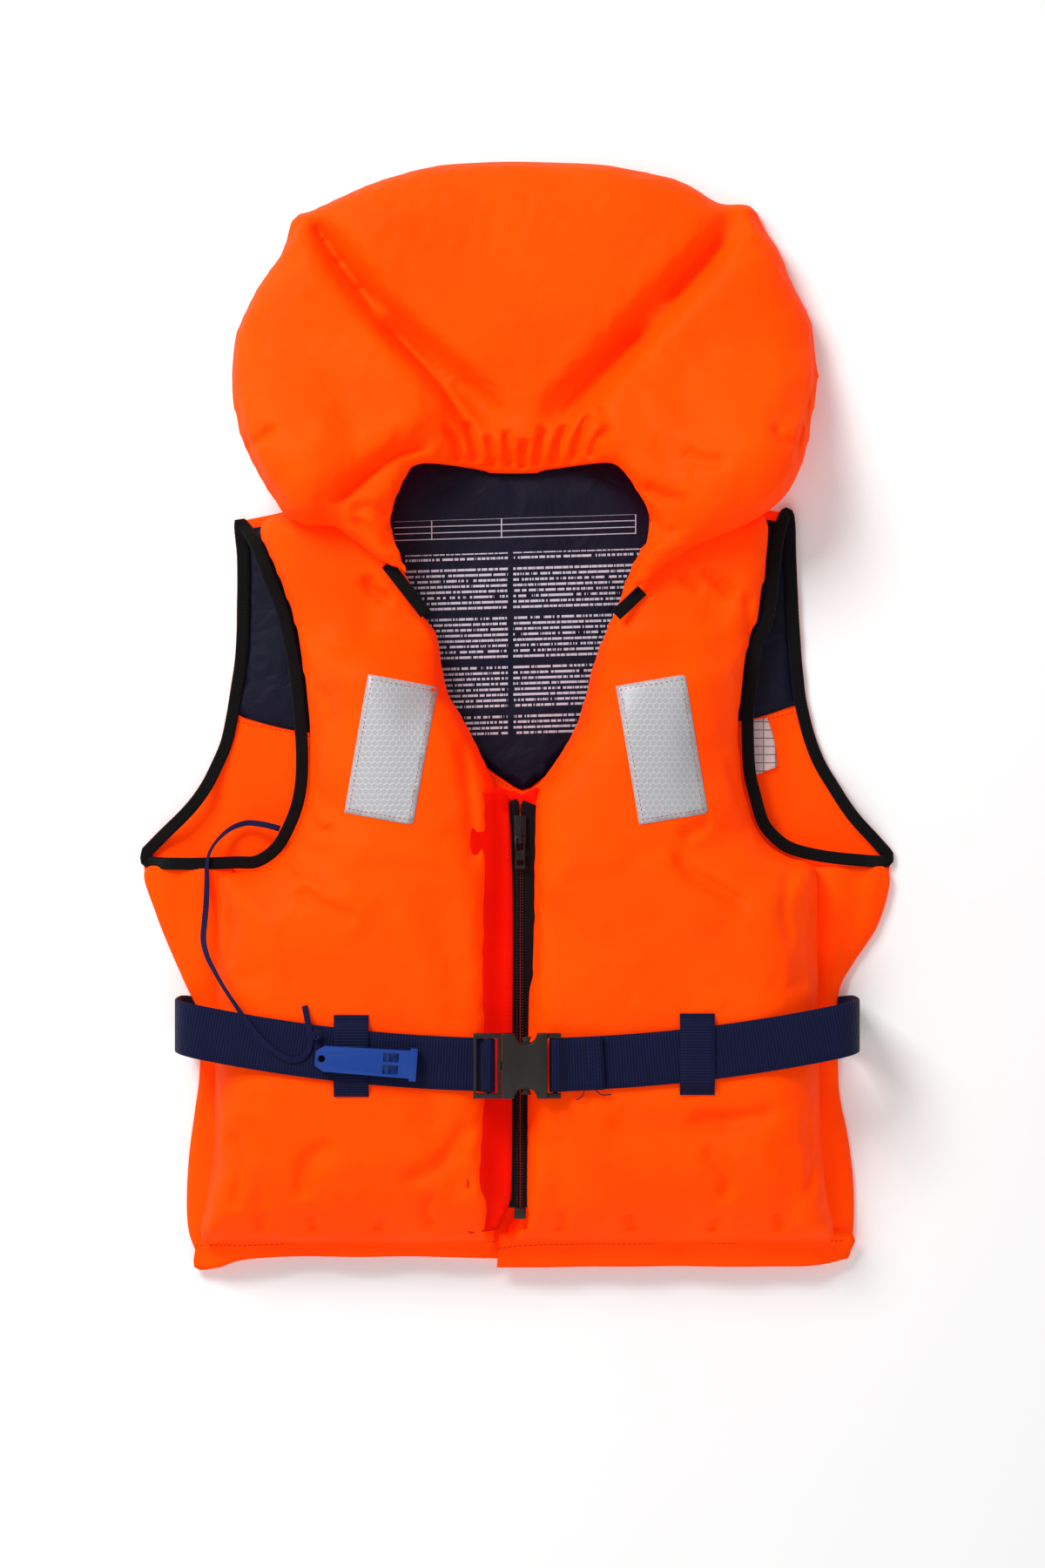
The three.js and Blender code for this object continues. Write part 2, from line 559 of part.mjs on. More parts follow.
function buildLoops() {
  for (const [name] of SIDES) {
    const x = LOOP_X[name];
    const middle = beltY(x, BELT_TOP_Z);
    const foot = BELT_WIDTH / 2 + 10;
    const sewnZ = FRONT_TOP + GAP + WEBBING / 2;
    const overZ = OVER_BELT_Z + WEBBING / 2;
    const half = [[foot, sewnZ], [foot - 4, sewnZ], [foot - 6.5, overZ]];
    const path = [...half, [0, overZ], ...onSide(-1, half).reverse()]
      .map(([y, z]) => [y + middle, z]);
    const geometry = warped(ribbon(path, WEBBING, LOOP_WIDTH), (y, z, a) => [a + x, y, z]);
    add(`belt_loop_${name}`, solid(geometry), "webbing");
  }
}

/** A box in the buckle's own place, from its centre line and its underside. */
function buckleBlock([x0, y0, z0], [x1, y1, z1]) {
  return block([x0, BELT_Y + y0, BUCKLE_Z + z0], [x1, BELT_Y + y1, BUCKLE_Z + z1]);
}

/** A pair of side arms with a webbing bar between them. */
function barFrame(x0, x1, barX) {
  const inner = BUCKLE_HALF_WIDTH - BUCKLE_ARM;
  const arms = [-1, 1].map((side) => {
    const y = [side * inner, side * BUCKLE_HALF_WIDTH].sort((a, b) => a - b);
    return buckleBlock([x0, y[0], 2.5], [x1, y[1], BUCKLE_THICKNESS - 2.5]);
  });
  const bar = block([barX, BELT_Y - inner - 1, BAR.low], [barX + BAR.width, BELT_Y + inner + 1, BAR.high]);
  return arms[0].add(arms[1]).add(bar);
}

const CAVITY = { half: BUCKLE_HALF_WIDTH - 6, low: BUCKLE_WALL, high: BUCKLE_THICKNESS - BUCKLE_WALL };
const NOTCH = { x: 6, radius: 8 };

function buildBuckle() {
  const half = BUCKLE_HALF_WIDTH;
  let socket = buckleBlock([SOCKET_X.mouth, -half, 0], [SOCKET_X.body, half, BUCKLE_THICKNESS])
    .subtract(buckleBlock([SOCKET_X.mouth - 1, -CAVITY.half, CAVITY.low],
      [SOCKET_X.body - BUCKLE_WALL, CAVITY.half, CAVITY.high]));
  for (const side of [-1, 1]) {
    const notch = new THREE.CylinderGeometry(NOTCH.radius, NOTCH.radius, 40, 20);
    notch.rotateX(Math.PI / 2).translate(NOTCH.x, BELT_Y + side * half, BUCKLE_Z);
    socket = socket.subtract(solid(notch));
  }
  const frame = barFrame(SOCKET_X.body - 1, SOCKET_X.end, SOCKET_BAR_X);
  add("buckle_socket", socket.add(frame), "plastic");

  const plugEnd = SOCKET_X.mouth - GAP;
  const inner = half - BUCKLE_ARM;
  const plug = barFrame(-31, plugEnd, PLUG_BAR_X)
    .add(buckleBlock([-31, -inner - 1, 5], [-29, inner + 1, BUCKLE_THICKNESS - 2.5]))
    .add(buckleBlock([plugEnd - 3, -inner - 1, 2.5], [plugEnd, inner + 1, BUCKLE_THICKNESS - 2.5]))
    .add(buckleBlock([plugEnd - 1, -3, 3.4], [12, 3, BUCKLE_THICKNESS - 3.4]));
  add("buckle_plug", plug, "plastic");
  for (const [name, side] of [["upper", 1], ["lower", -1]]) {
    const y = [side * (CAVITY.half - 6), side * (CAVITY.half - GAP)].sort((a, b) => a - b);
    const prong = buckleBlock([plugEnd + 3 * GAP, y[0], 3], [15, y[1], BUCKLE_THICKNESS - 3]);
    add(`plug_prong_${name}`, prong, "plastic");
  }
}

// ---- Patches, label, whistle and lanyard --------------------------------------------------

function buildPatches() {
  for (const [name, side] of SIDES) {
    const patch = new THREE.BoxGeometry(50, 100, 0.6);
    patch.rotateZ(THREE.MathUtils.degToRad(side < 0 ? 10 : -9.5));
    patch.translate(side < 0 ? -90 : 103, -27, FRONT_TOP + GAP + 0.3);
    add(`reflective_patch_${name}`, patch, "reflective");
  }
  const label = new THREE.Shape([[170, -6], [183, -5], [189, -21], [192, -40], [172, -46]]
    .map((p) => new THREE.Vector2(...p)));
  const z = BACK_LINING_Z + LINING + GAP;
  add("care_label", prism(label, z, z + 0.6), "label");
}

const WHISTLE_AT = { x: -107, y: -248, z: OVER_BELT_Z + WEBBING + GAP };

function buildWhistle() {
  const half = WHISTLE_LENGTH / 2;
  const wide = WHISTLE_WIDTH / 2;
  const body = outline([-half, -5], [[-half + 6, -wide]], [[half - 5, -wide - 0.8]],
    [[half - 5, -wide - 2.5]], [[half, -wide - 2.5]], [[half, wide + 2.5]], [[half - 5, wide + 2.5]],
    [[half - 5, wide + 0.8]], [[-half + 6, wide]], [[-half, 5]]);
  let whistle = prism(body, 0, WHISTLE_THICKNESS);
  for (const side of [-1, 1]) {
    const y = [side, side * 7.5].sort((a, b) => a - b);
    whistle = whistle.subtract(block([12, y[0], 5], [23, y[1], 9]));
    whistle = whistle.subtract(block([22, y[0], 2.5], [half + 1, y[1], 5.5]));
    whistle = whistle.subtract(block([16, y[0], 2.5], [22.5, y[1], 6]));
  }
  const eye = new THREE.CylinderGeometry(2.6, 2.6, 20, 12).rotateX(Math.PI / 2);
  whistle = whistle.subtract(solid(eye.translate(-half + 4.5, 0, 4)));
  const geometry = geometryOf(whistle).rotateZ(THREE.MathUtils.degToRad(WHISTLE_TILT));
  add("whistle", geometry.translate(WHISTLE_AT.x, WHISTLE_AT.y, WHISTLE_AT.z), "blue");
}

const LANYARD = [ // from the armhole binding to the loose end past the knot
  [-172.5, -84, 20.8], [-179.5, -82, 20.6], [-187.5, -80.5, 16], [-198, -80, 10.5], [-209, -84, 11],
  [-218, -92, 15.5], [-223.5, -101, 20.6], [-225.5, -111, 21.4], [-225.4, -120, 22],
  [-225.2, -130, 26], [-225, -141, 34], [-225, -152, 45], [-224.6, -163, 57], [-221, -174, 67.5],
  [-215.5, -184, 73.4], [-209, -195, 76], [-201, -207, 76.6], [-192, -220, 76.6],
  [-183, -232, 76.6], [-173, -241, 76.6], [-162, -247, 76.6], [-153.5, -246, 76.6],
  [-148, -240, 76.6], [-147, -230, 76.6], [-149, -219, 76], [-151, -209, 74.4]];

function buildLanyard() {
  const path = new THREE.CatmullRomCurve3(LANYARD.map((p) => new THREE.Vector3(...p)));
  const radius = LANYARD_THICKNESS / 2;
  const section = new THREE.Shape();
  section.absarc(0, 0, radius, 0, 2 * Math.PI, false);
  const cord = new THREE.ExtrudeGeometry(section, { extrudePath: path, steps: 44, curveSegments: 4 });
  add("whistle_lanyard", solid(cord), "webbing");
  const knot = new THREE.SphereGeometry(3.2, 10, 8);
  add("lanyard_knot", knot.translate(-141.9, -229.5, 78.2), "webbing");
}

// ---- The jacket ---------------------------------------------------------------------------

buildBack();
buildFront("left", -1, COVER_EDGE_LEFT);
buildFront("right", 1, COVER_EDGE_RIGHT);
for (const [name, side] of SIDES) {
  buildSidePanel(name, side);
  buildArmholeBinding(name, side);
}
buildCollar();
buildZip();
buildSlider();
buildBelt();
buildLoops();
buildBuckle();
buildPatches();
buildWhistle();
buildLanyard();

export default jacket;
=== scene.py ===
"""A foam life jacket lying on its back: padded fronts, a three-lobed collar, a zip and a belt.

Metres, +Z up, +X to the wearer's left, +Y towards the collar. Sizes in the classes are millimetres.
"""
import json
import logging
import math
from dataclasses import dataclass, field
from enum import Enum
from typing import Callable, Sequence

import bmesh
import bpy
import numpy as np
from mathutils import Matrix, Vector
from mathutils.bvhtree import BVHTree
from mathutils.geometry import delaunay_2d_cdt

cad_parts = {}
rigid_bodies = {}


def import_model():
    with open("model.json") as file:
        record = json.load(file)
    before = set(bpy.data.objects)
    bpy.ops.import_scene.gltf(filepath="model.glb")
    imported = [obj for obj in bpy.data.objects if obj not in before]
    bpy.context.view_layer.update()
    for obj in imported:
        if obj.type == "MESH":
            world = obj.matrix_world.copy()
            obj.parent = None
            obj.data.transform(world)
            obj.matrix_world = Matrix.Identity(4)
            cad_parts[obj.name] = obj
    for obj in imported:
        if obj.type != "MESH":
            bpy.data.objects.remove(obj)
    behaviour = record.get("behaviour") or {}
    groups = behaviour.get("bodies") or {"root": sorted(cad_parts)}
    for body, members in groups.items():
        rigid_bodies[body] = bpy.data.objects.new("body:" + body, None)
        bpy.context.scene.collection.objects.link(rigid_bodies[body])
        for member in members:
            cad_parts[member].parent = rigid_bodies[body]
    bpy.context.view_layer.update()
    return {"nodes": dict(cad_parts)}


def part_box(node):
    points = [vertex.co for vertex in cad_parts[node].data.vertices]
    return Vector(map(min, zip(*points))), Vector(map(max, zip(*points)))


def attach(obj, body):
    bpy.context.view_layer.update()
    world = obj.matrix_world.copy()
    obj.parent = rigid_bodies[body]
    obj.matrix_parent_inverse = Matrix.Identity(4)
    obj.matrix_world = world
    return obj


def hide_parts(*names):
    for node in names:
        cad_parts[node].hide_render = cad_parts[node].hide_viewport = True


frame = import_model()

MM = 0.001
LOG = logging.getLogger("life_jacket")

Array = np.ndarray
Field = Callable[[Array, Array, Array], Array]
Point = tuple[float, float]

DOUBLE = 2e-6  # metres; points closer than this are one point
CREASE_STEP = 6.0  # spacing of the points that a crease is measured from
BELT_MIDDLE = -251.0  # Y of the belt's middle at the buckle
BELT_RISE = 27.0  # how much further up the belt lies at the jacket's sides
BELT_SIDE = 245.0  # X of the belt's furthest points
PRESSURE = 4.0  # air pressure that swells a pad
CLOTH_FRAMES = 20  # steps of the cloth simulation
CREASE_SHARE = 1.7  # factor on a front's creases, so that they outlast its swelling


class Side(Enum):
    """The two halves of the jacket, as seen from the front."""

    LEFT = ("left", -1)
    RIGHT = ("right", 1)

    @property
    def word(self) -> str:
        """The side's name in the CAD nodes."""
        return self.value[0]

    @property
    def sign(self) -> int:
        """-1 on the -X side, 1 on the +X side."""
        return self.value[1]


# ---- Numbers and curves -------------------------------------------------------------------------


def smooth(start: float, end: float, value: Array) -> Array:
    """A smooth step.

    Args:
        start: Value at which the step is 0.
        end: Value at which the step is 1; it may be below start.
        value: Where to read the step.

    Returns:
        The step at each value.
    """
    t = np.clip((value - start) / (end - start), 0.0, 1.0)
    return t * t * (3 - 2 * t)


def curve(points: Sequence[Sequence[float]], step: float, closed: bool = False) -> Array:
    """A smooth curve through points; a point given twice is a corner.

    Args:
        points: The points, in two or three coordinates.
        step: Distance between the returned points.
        closed: Whether the curve comes back to its first point.

    Returns:
        Points along the curve, evenly spaced.
    """
    p = np.array(points, float)
    if closed:
        p = np.vstack([p[-1], p, p[:2]])
    else:
        p = np.vstack([2 * p[0] - p[1], p, 2 * p[-1] - p[-2]])
    fine = []
    t = np.linspace(0, 1, 16, endpoint=False)[:, None]
    for a, b, c, d in zip(p, p[1:], p[2:], p[3:]):
        if np.allclose(b, c):
            continue
        fine.append(0.5 * (2 * b + (c - a) * t + (2 * a - 5 * b + 4 * c - d) * t ** 2
                           + (3 * b - a - 3 * c + d) * t ** 3))
    line = np.vstack([*fine, p[-2][None]])
    length = np.concatenate([[0], np.cumsum(np.linalg.norm(np.diff(line, axis=0), axis=1))])
    count = max(2, int(round(length[-1] / step)) + 1)
    at = np.linspace(0, length[-1], count)
    even = np.stack([np.interp(at, length, line[:, k]) for k in range(line.shape[1])], 1)
    return even[:-1] if closed else even


def to_segments(x: Array, y: Array, starts: Array, ends: Array) -> tuple[Array, Array]:
    """Measures points against straight segments.

    Args:
        x: Points' X.
        y: Points' Y.
        starts: Each segment's first end.
        ends: Each segment's other end.

    Returns:
        Each point's distance to each segment, and the share of the segment at its nearest place.
    """
    p = np.stack([x, y], 1)[:, None, :]
    run = (ends - starts)[None]
    size = np.maximum((run ** 2).sum(2), 1e-12)
    t = np.clip(((p - starts[None]) * run).sum(2) / size, 0, 1)
    return np.linalg.norm(p - starts[None] - t[..., None] * run, axis=2), t


def distance_to(x: Array, y: Array, line: Array, closed: bool = True) -> Array:
    """How far points are from a line.

    Args:
        x: Points' X.
        y: Points' Y.
        line: The line's points.
        closed: Whether the line is a loop.

    Returns:
        The distance of each point.
    """
    starts = line if closed else line[:-1]
    ends = np.roll(line, -1, 0) if closed else line[1:]
    return to_segments(x, y, starts, ends)[0].min(1)


def inside(x: Array, y: Array, loop: Array) -> Array:
    """Which points are inside a loop.

    Args:
        x: Points' X.
        y: Points' Y.
        loop: The loop's points.

    Returns:
        True for each point inside.
    """
    x0, y0 = loop[:, 0][None], loop[:, 1][None]
    x1, y1 = np.roll(x0, -1, 1), np.roll(y0, -1, 1)
    px, py = x[:, None], y[:, None]
    crosses = (y0 > py) != (y1 > py)
    at = x0 + (py - y0) * (x1 - x0) / np.where(y1 == y0, 1e-9, y1 - y0)
    return (crosses & (px < at)).sum(1) % 2 == 1


def inset(loop: Array, distance: float) -> Array:
    """A loop moved inwards, point by point.

    Args:
        loop: The loop's points.
        distance: How far each point moves.

    Returns:
        The moved points.
    """
    along = np.roll(loop, -1, 0) - np.roll(loop, 1, 0)
    along /= np.maximum(np.linalg.norm(along, axis=1), 1e-9)[:, None]
    nxt = np.roll(loop, -1, 0)
    turn = np.sign((loop[:, 0] * nxt[:, 1] - nxt[:, 0] * loop[:, 1]).sum())
    return loop + turn * distance * np.stack([-along[:, 1], along[:, 0]], 1)


@dataclass(frozen=True)
class Crease:
    """A soft fold pressed into, or raised from, a padded surface.

    Attributes:
        line: Points along the fold, in millimetres.
        depth: How deep it is; negative for a ridge.
        width: Half of its width.
    """

    line: tuple[Point, ...]
    depth: float
    width: float

    def at(self, x: Array, y: Array) -> Array:
        """The fold's depth at points, fading out at both of its ends.

        Args:
            x: Points' X.
            y: Points' Y.

        Returns:
            The depth at each point, in millimetres.
        """
        path = curve(self.line, CREASE_STEP)
        away, share = to_segments(x, y, path[:-1], path[1:])
        near = away.argmin(1)
        each = np.arange(len(x))
        along = (near + share[each, near]) / (len(path) - 1)
        ends = smooth(-0.02, 0.16, along) * smooth(1.02, 0.8, along)
        return self.depth * ends * np.exp(-(away[each, near] / self.width) ** 2)


def crossing_waves(x: Array, y: Array, size: float, seed: int) -> Array:
    """Slow, irregular waves between -1 and 1, from a few seeded directions.

    Args:
        x: Points' X.
        y: Points' Y.
        size: Length of a wave.
        seed: Which set of waves.

    Returns:
        The height of the waves at each point.
    """
    source = np.random.default_rng(seed)
    total = np.zeros_like(x)
    for _ in range(6):
        angle, phase = source.uniform(0, math.pi), source.uniform(0, 2 * math.pi)
        rate = 2 * math.pi / (size * source.uniform(0.7, 1.5))
        total += np.sin(rate * (x * math.cos(angle) + y * math.sin(angle)) + phase
                        + 1.3 * np.sin(rate * 0.37 * (y * math.cos(angle) - x * math.sin(angle))))
    return total / 6


# ---- Meshes -------------------------------------------------------------------------------------


def new_piece(name: str, points: Array, faces: Sequence[Sequence[int]]) -> bpy.types.Object:
    """A smooth-shaded object from millimetre points.

    Args:
        name: Name of the piece.
        points: Its vertices, in millimetres.
        faces: Its faces, as vertex numbers.

    Returns:
        The object, at the origin.
    """
    mesh = bpy.data.meshes.new(name)
    mesh.from_pydata((np.asarray(points, float) * MM).tolist(), [], [list(f) for f in faces])
    mesh.update()
    piece = bpy.data.objects.new(name, mesh)
    bpy.context.scene.collection.objects.link(piece)
    mesh.shade_smooth()
    return piece


def tidied(piece: bpy.types.Object, merge: bool = True) -> bpy.types.Object:
    """Turns the faces of a closed piece outwards.

    Args:
        piece: The piece.
        merge: Whether doubled points are merged first.

    Returns:
        The piece.
    """
    work = bmesh.new()
    work.from_mesh(piece.data)
    if merge:
        bmesh.ops.remove_doubles(work, verts=work.verts, dist=DOUBLE)
    bmesh.ops.recalc_face_normals(work, faces=work.faces)
    work.to_mesh(piece.data)
    work.free()
    return piece


def bake(piece: bpy.types.Object) -> None:
    """Turns a piece's modifiers into plain mesh.

    Args:
        piece: The piece, which has no modifiers left afterwards.
    """
    deps = bpy.context.evaluated_depsgraph_get()
    mesh = bpy.data.meshes.new_from_object(piece.evaluated_get(deps), depsgraph=deps)
    old = piece.data
    piece.modifiers.clear()
    piece.data = mesh
    bpy.data.meshes.remove(old)
    piece.data.name = piece.name


def coordinates(mesh: bpy.types.Mesh) -> Array:
    """A mesh's vertices, in millimetres."""
    flat = np.zeros(len(mesh.vertices) * 3)
    mesh.vertices.foreach_get("co", flat)
    return flat.reshape(-1, 3) / MM


def move_to(mesh: bpy.types.Mesh, points: Array) -> None:
    """Gives a mesh new vertices, in millimetres."""
    mesh.vertices.foreach_set("co", (points * MM).ravel())
    mesh.update()


def between(name: str, loop: Array, step: float, low: Field, high: Field) -> bpy.types.Object:
    """A closed piece between two height fields over an outline.

    Args:
        name: Name of the piece.
        loop: The outline, in millimetres.
        step: Spacing of its points.
        low: Height of the underside from x, y and the distance to the outline.
        high: Height of the top, likewise.

    Returns:
        The object.
    """
    lowest, highest = loop.min(0), loop.max(0)
    gx, gy = np.meshgrid(np.arange(lowest[0], highest[0], step), np.arange(lowest[1], highest[1], step))
    gx, gy = gx.ravel(), gy.ravel()
    kept = inside(gx, gy, loop)
    gx, gy = gx[kept], gy[kept]
    kept = distance_to(gx, gy, loop) > 0.55 * step
    flat = np.vstack([loop, np.stack([gx[kept], gy[kept]], 1)])
    made = delaunay_2d_cdt([Vector(p) for p in flat], [], [list(range(len(loop)))], 1, 1e-5)
    points = np.array([tuple(v) for v in made[0]])
    faces = [list(f) for f in made[2]]
    x, y = points[:, 0], points[:, 1]
    away = distance_to(x, y, loop)
    count = len(points)
    top = np.column_stack([x, y, high(x, y, away)])
    bottom = np.column_stack([x, y, low(x, y, away)])
    used: dict[tuple[int, int], int] = {}
    for face in faces:
        for a, b in zip(face, face[1:] + face[:1]):
            used[(a, b)] = used.get((a, b), 0) + 1
    walls = [(b, a, a + count, b + count) for a, b in used if (b, a) not in used]
    all_faces = faces + [[v + count for v in reversed(f)] for f in faces] + walls
    return tidied(new_piece(name, np.vstack([top, bottom]), all_faces))


def swept(name: str, path: Array, across: Array, width: float, thickness: float,
          columns: int = 6, closed: bool = False) -> bpy.types.Object:
    """A flat strap along a path, with rounded edges and a UV map in metres.

    Args:
        name: Name of the piece.
        path: Points along its middle.
        across: The direction of its width at each point.
        width: Its width.
        thickness: Its thickness.
        columns: Points across each face.
        closed: Whether it is a loop.

    Returns:
        The object.
    """
    along = np.gradient(path, axis=0)
    if closed:
        along = np.roll(path, -1, 0) - np.roll(path, 1, 0)
    along /= np.maximum(np.linalg.norm(along, axis=1), 1e-9)[:, None]
    across = across - (across * along).sum(1)[:, None] * along
    across /= np.linalg.norm(across, axis=1)[:, None]
    up = np.cross(along, across)
    half = width / 2
    edge = min(0.45 * thickness, 0.2 * width)
    rows = np.linspace(-half + edge, half - edge, columns)
    near_edge, slope = half - 0.3 * edge, thickness * 0.3
    section = [(v, thickness / 2) for v in rows]
    section += [(near_edge, slope), (half, 0.0), (near_edge, -slope)]
    section += [(v, -thickness / 2) for v in rows[::-1]]
    section += [(-near_edge, -slope), (-half, 0.0), (-near_edge, slope)]
    ring = len(section)
    points = np.concatenate([path + v * across + w * up for v, w in section])
    count = len(path)
    points = points.reshape(ring, count, 3).transpose(1, 0, 2).reshape(-1, 3)
    faces, uvs = [], []
    length = np.concatenate([[0], np.cumsum(np.linalg.norm(np.diff(path, axis=0), axis=1))])
    spans = count if closed else count - 1
    for i in range(spans):
        j = (i + 1) % count
        end = length[j] if j else length[-1] + np.linalg.norm(path[0] - path[-1])
        for k in range(ring):
            m = (k + 1) % ring
            faces.append([i * ring + k, i * ring + m, j * ring + m, j * ring + k])
            uvs.append([(length[i], section[k][0]), (length[i], section[m][0]),
                        (end, section[m][0]), (end, section[k][0])])
    if not closed:
        faces += [list(range(ring))[::-1], [(count - 1) * ring + k for k in range(ring)]]
        uvs += [[(0, section[k][0]) for k in range(ring)][::-1],
                [(length[-1], section[k][0]) for k in range(ring)]]
    piece = new_piece(name, points, faces)
    layer = piece.data.uv_layers.new(name="Along")
    flat = np.array([uv for face in uvs for uv in face]) * MM
    layer.data.foreach_set("uv", flat.ravel())
    return tidied(piece, merge=False)


def moulded(name: str, source: str, bevel: float) -> bpy.types.Object:
    """A moulded piece: a CAD solid with rounded edges.

    Args:
        name: Name of the piece.
        source: The CAD node that it is made from.
        bevel: Radius of its edges, in millimetres.

    Returns:
        The object.
    """
    work = bmesh.new()
    work.from_mesh(frame["nodes"][source].data)
    bmesh.ops.remove_doubles(work, verts=work.verts, dist=DOUBLE)
    bmesh.ops.dissolve_limit(work, angle_limit=math.radians(2), verts=work.verts, edges=work.edges)
    bmesh.ops.recalc_face_normals(work, faces=work.faces)
    mesh = bpy.data.meshes.new(name)
    work.to_mesh(mesh)
    work.free()
    mesh.materials.clear()
    piece = bpy.data.objects.new(name, mesh)
    bpy.context.scene.collection.objects.link(piece)
    rounded = piece.modifiers.new("Rounded edges", "BEVEL")
    rounded.width = bevel * MM
    rounded.segments = 3
    rounded.limit_method = "ANGLE"
    rounded.angle_limit = math.radians(35)
    bake(piece)
    piece.data.shade_smooth()
    piece.data.set_sharp_from_angle(angle=math.radians(40))
    return piece


def puff(piece: bpy.types.Object, cap: float, held: Callable[[Array], Array], slack: float,
         voxel: float = 6.0) -> None:
    """Swells a closed shape into padded fabric by cloth simulation.

    Args:
        piece: The closed shape.
        cap: The furthest that a point may move, in millimetres.
        held: From points, how firmly each is held by a seam, 0 to 1.
        slack: Share by which the fabric is larger than the shape.
        voxel: Size of the even mesh that is simulated, in millimetres.
    """
    even = piece.modifiers.new("Even mesh", "REMESH")
    even.mode = "VOXEL"
    even.voxel_size = voxel * MM
    even.use_smooth_shade = True
    bake(piece)
    softened = piece.modifiers.new("Softened", "SMOOTH")
    softened.factor = 0.5
    softened.iterations = 2
    bake(piece)
    rest = coordinates(piece.data)
    firm = np.clip(held(rest), 0, 1)
    seam = piece.vertex_groups.new(name="seam")
    for level in (0.25, 0.5, 0.75, 1.0):
        chosen = np.nonzero((firm > level - 0.25) & (firm <= level))[0]
        seam.add([int(i) for i in chosen], level, "REPLACE")
    cloth = piece.modifiers.new("Cloth", "CLOTH")
    cloth.settings.quality = 5
    cloth.settings.mass = 0.3
    cloth.settings.use_pressure = True
    cloth.settings.uniform_pressure_force = PRESSURE
    cloth.settings.shrink_min = -slack
    cloth.settings.effector_weights.gravity = 0.0
    cloth.settings.vertex_group_mass = "seam"
    cloth.collision_settings.use_collision = False
    cloth.point_cache.frame_start = 1
    cloth.point_cache.frame_end = CLOTH_FRAMES
    for step in range(1, CLOTH_FRAMES + 1):
        bpy.context.scene.frame_set(step)
    deps = bpy.context.evaluated_depsgraph_get()
    result = coordinates(piece.evaluated_get(deps).data)
    piece.modifiers.clear()
    piece.vertex_groups.clear()
    bpy.context.scene.frame_set(1)
    moved = np.nan_to_num(result - rest)
    far = np.linalg.norm(moved, axis=1)
    limit = cap * (1 - firm)
    eased = limit * np.tanh(far / np.maximum(limit, 1e-6)) / np.maximum(far, 1e-6)
    share = np.where(far > 1e-6, np.minimum(1.0, eased), 0)
    move_to(piece.data, rest + moved * share[:, None])
    finer = piece.modifiers.new("Finer", "SUBSURF")
    finer.levels = 1
    finer.render_levels = 1
    bake(piece)
    piece.data.shade_smooth()


def press(piece: bpy.types.Object, creases: Sequence[Crease], strength: float) -> None:
    """Presses sharp creases into the upper side of a finished pad.

    Args:
        piece: The pad.
        creases: The creases.
        strength: Factor on the depth of all of them.
    """
    place = coordinates(piece.data)
    normals = np.zeros(len(place) * 3)
    piece.data.vertices.foreach_get("normal", normals)
    upward = np.clip(normals.reshape(-1, 3)[:, 2] * 2, 0, 1)
    for crease in creases:
        path = curve(crease.line, CREASE_STEP)
        low, high = path.min(0) - 4 * crease.width, path.max(0) + 4 * crease.width
        near = np.nonzero(((place[:, :2] > low) & (place[:, :2] < high)).all(1))[0]
        if len(near):
            place[near, 2] -= strength * crease.at(place[near, 0], place[near, 1]) * upward[near]
    move_to(piece.data, place)


class Surfaces:
    """Finished pieces that other pieces are laid on."""

    def __init__(self, *pieces: bpy.types.Object) -> None:
        """Keeps a search tree of each piece.

        Args:
            *pieces: The pieces.
        """
        self.trees = []
        for piece in pieces:
            mesh = piece.data
            corners = [v.co.copy() for v in mesh.vertices]
            self.trees.append(BVHTree.FromPolygons(corners, [tuple(p.vertices) for p in mesh.polygons]))

    def height(self, x: float, y: float, otherwise: float) -> float:
        """The height of the top of the pieces at a point.

        Args:
            x: X in millimetres.
            y: Y in millimetres.
            otherwise: The height where there is no piece.

        Returns:
            The height in millimetres.
        """
        hits = [tree.ray_cast(Vector((x * MM, y * MM, 0.3)), Vector((0, 0, -1)))[0] for tree in self.trees]
        found = [hit.z / MM for hit in hits if hit is not None]
        return max(found) if found else otherwise

    def lay(self, line: Array, lift: float, otherwise: float = 20.0) -> Array:
        """Lays a flat line on the pieces.

        Args:
            line: The line's points.
            lift: How far it lies above the pieces.
            otherwise: The height where there is no piece.

        Returns:
            The points, with their heights.
        """
        heights = [self.height(p[0], p[1], otherwise) + lift for p in line]
        return np.column_stack([line[:, :2], heights])


# ---- Finishes -----------------------------------------------------------------------------------


def srgb(code: str) -> tuple[float, float, float, float]:
    """Turns an sRGB hex colour into linear light.

    Args:
        code: Six hexadecimal digits after a hash.

    Returns:
        Linear red, green, blue and an alpha of 1.
    """
    parts = [int(code[i:i + 2], 16) / 255 for i in (1, 3, 5)]
    line = [p / 12.92 if p <= 0.04045 else ((p + 0.055) / 1.055) ** 2.4 for p in parts]
    return (*line, 1.0)


def node(tree: bpy.types.NodeTree, kind: str, inputs: dict | None = None,
         **settings: object) -> bpy.types.Node:
    """Adds a node with its settings and links.

    Args:
        tree: The tree that it joins.
        kind: The node's type name.
        inputs: From input name or number to a value or to the socket that feeds it.
        **settings: The node's own properties.

    Returns:
        The node.
    """
    made = tree.nodes.new(kind)
    for key, value in settings.items():
        setattr(made, key, value)
    for key, value in (inputs or {}).items():
        if isinstance(value, bpy.types.NodeSocket):
            tree.links.new(value, made.inputs[key])
        else:
            made.inputs[key].default_value = value
    return made


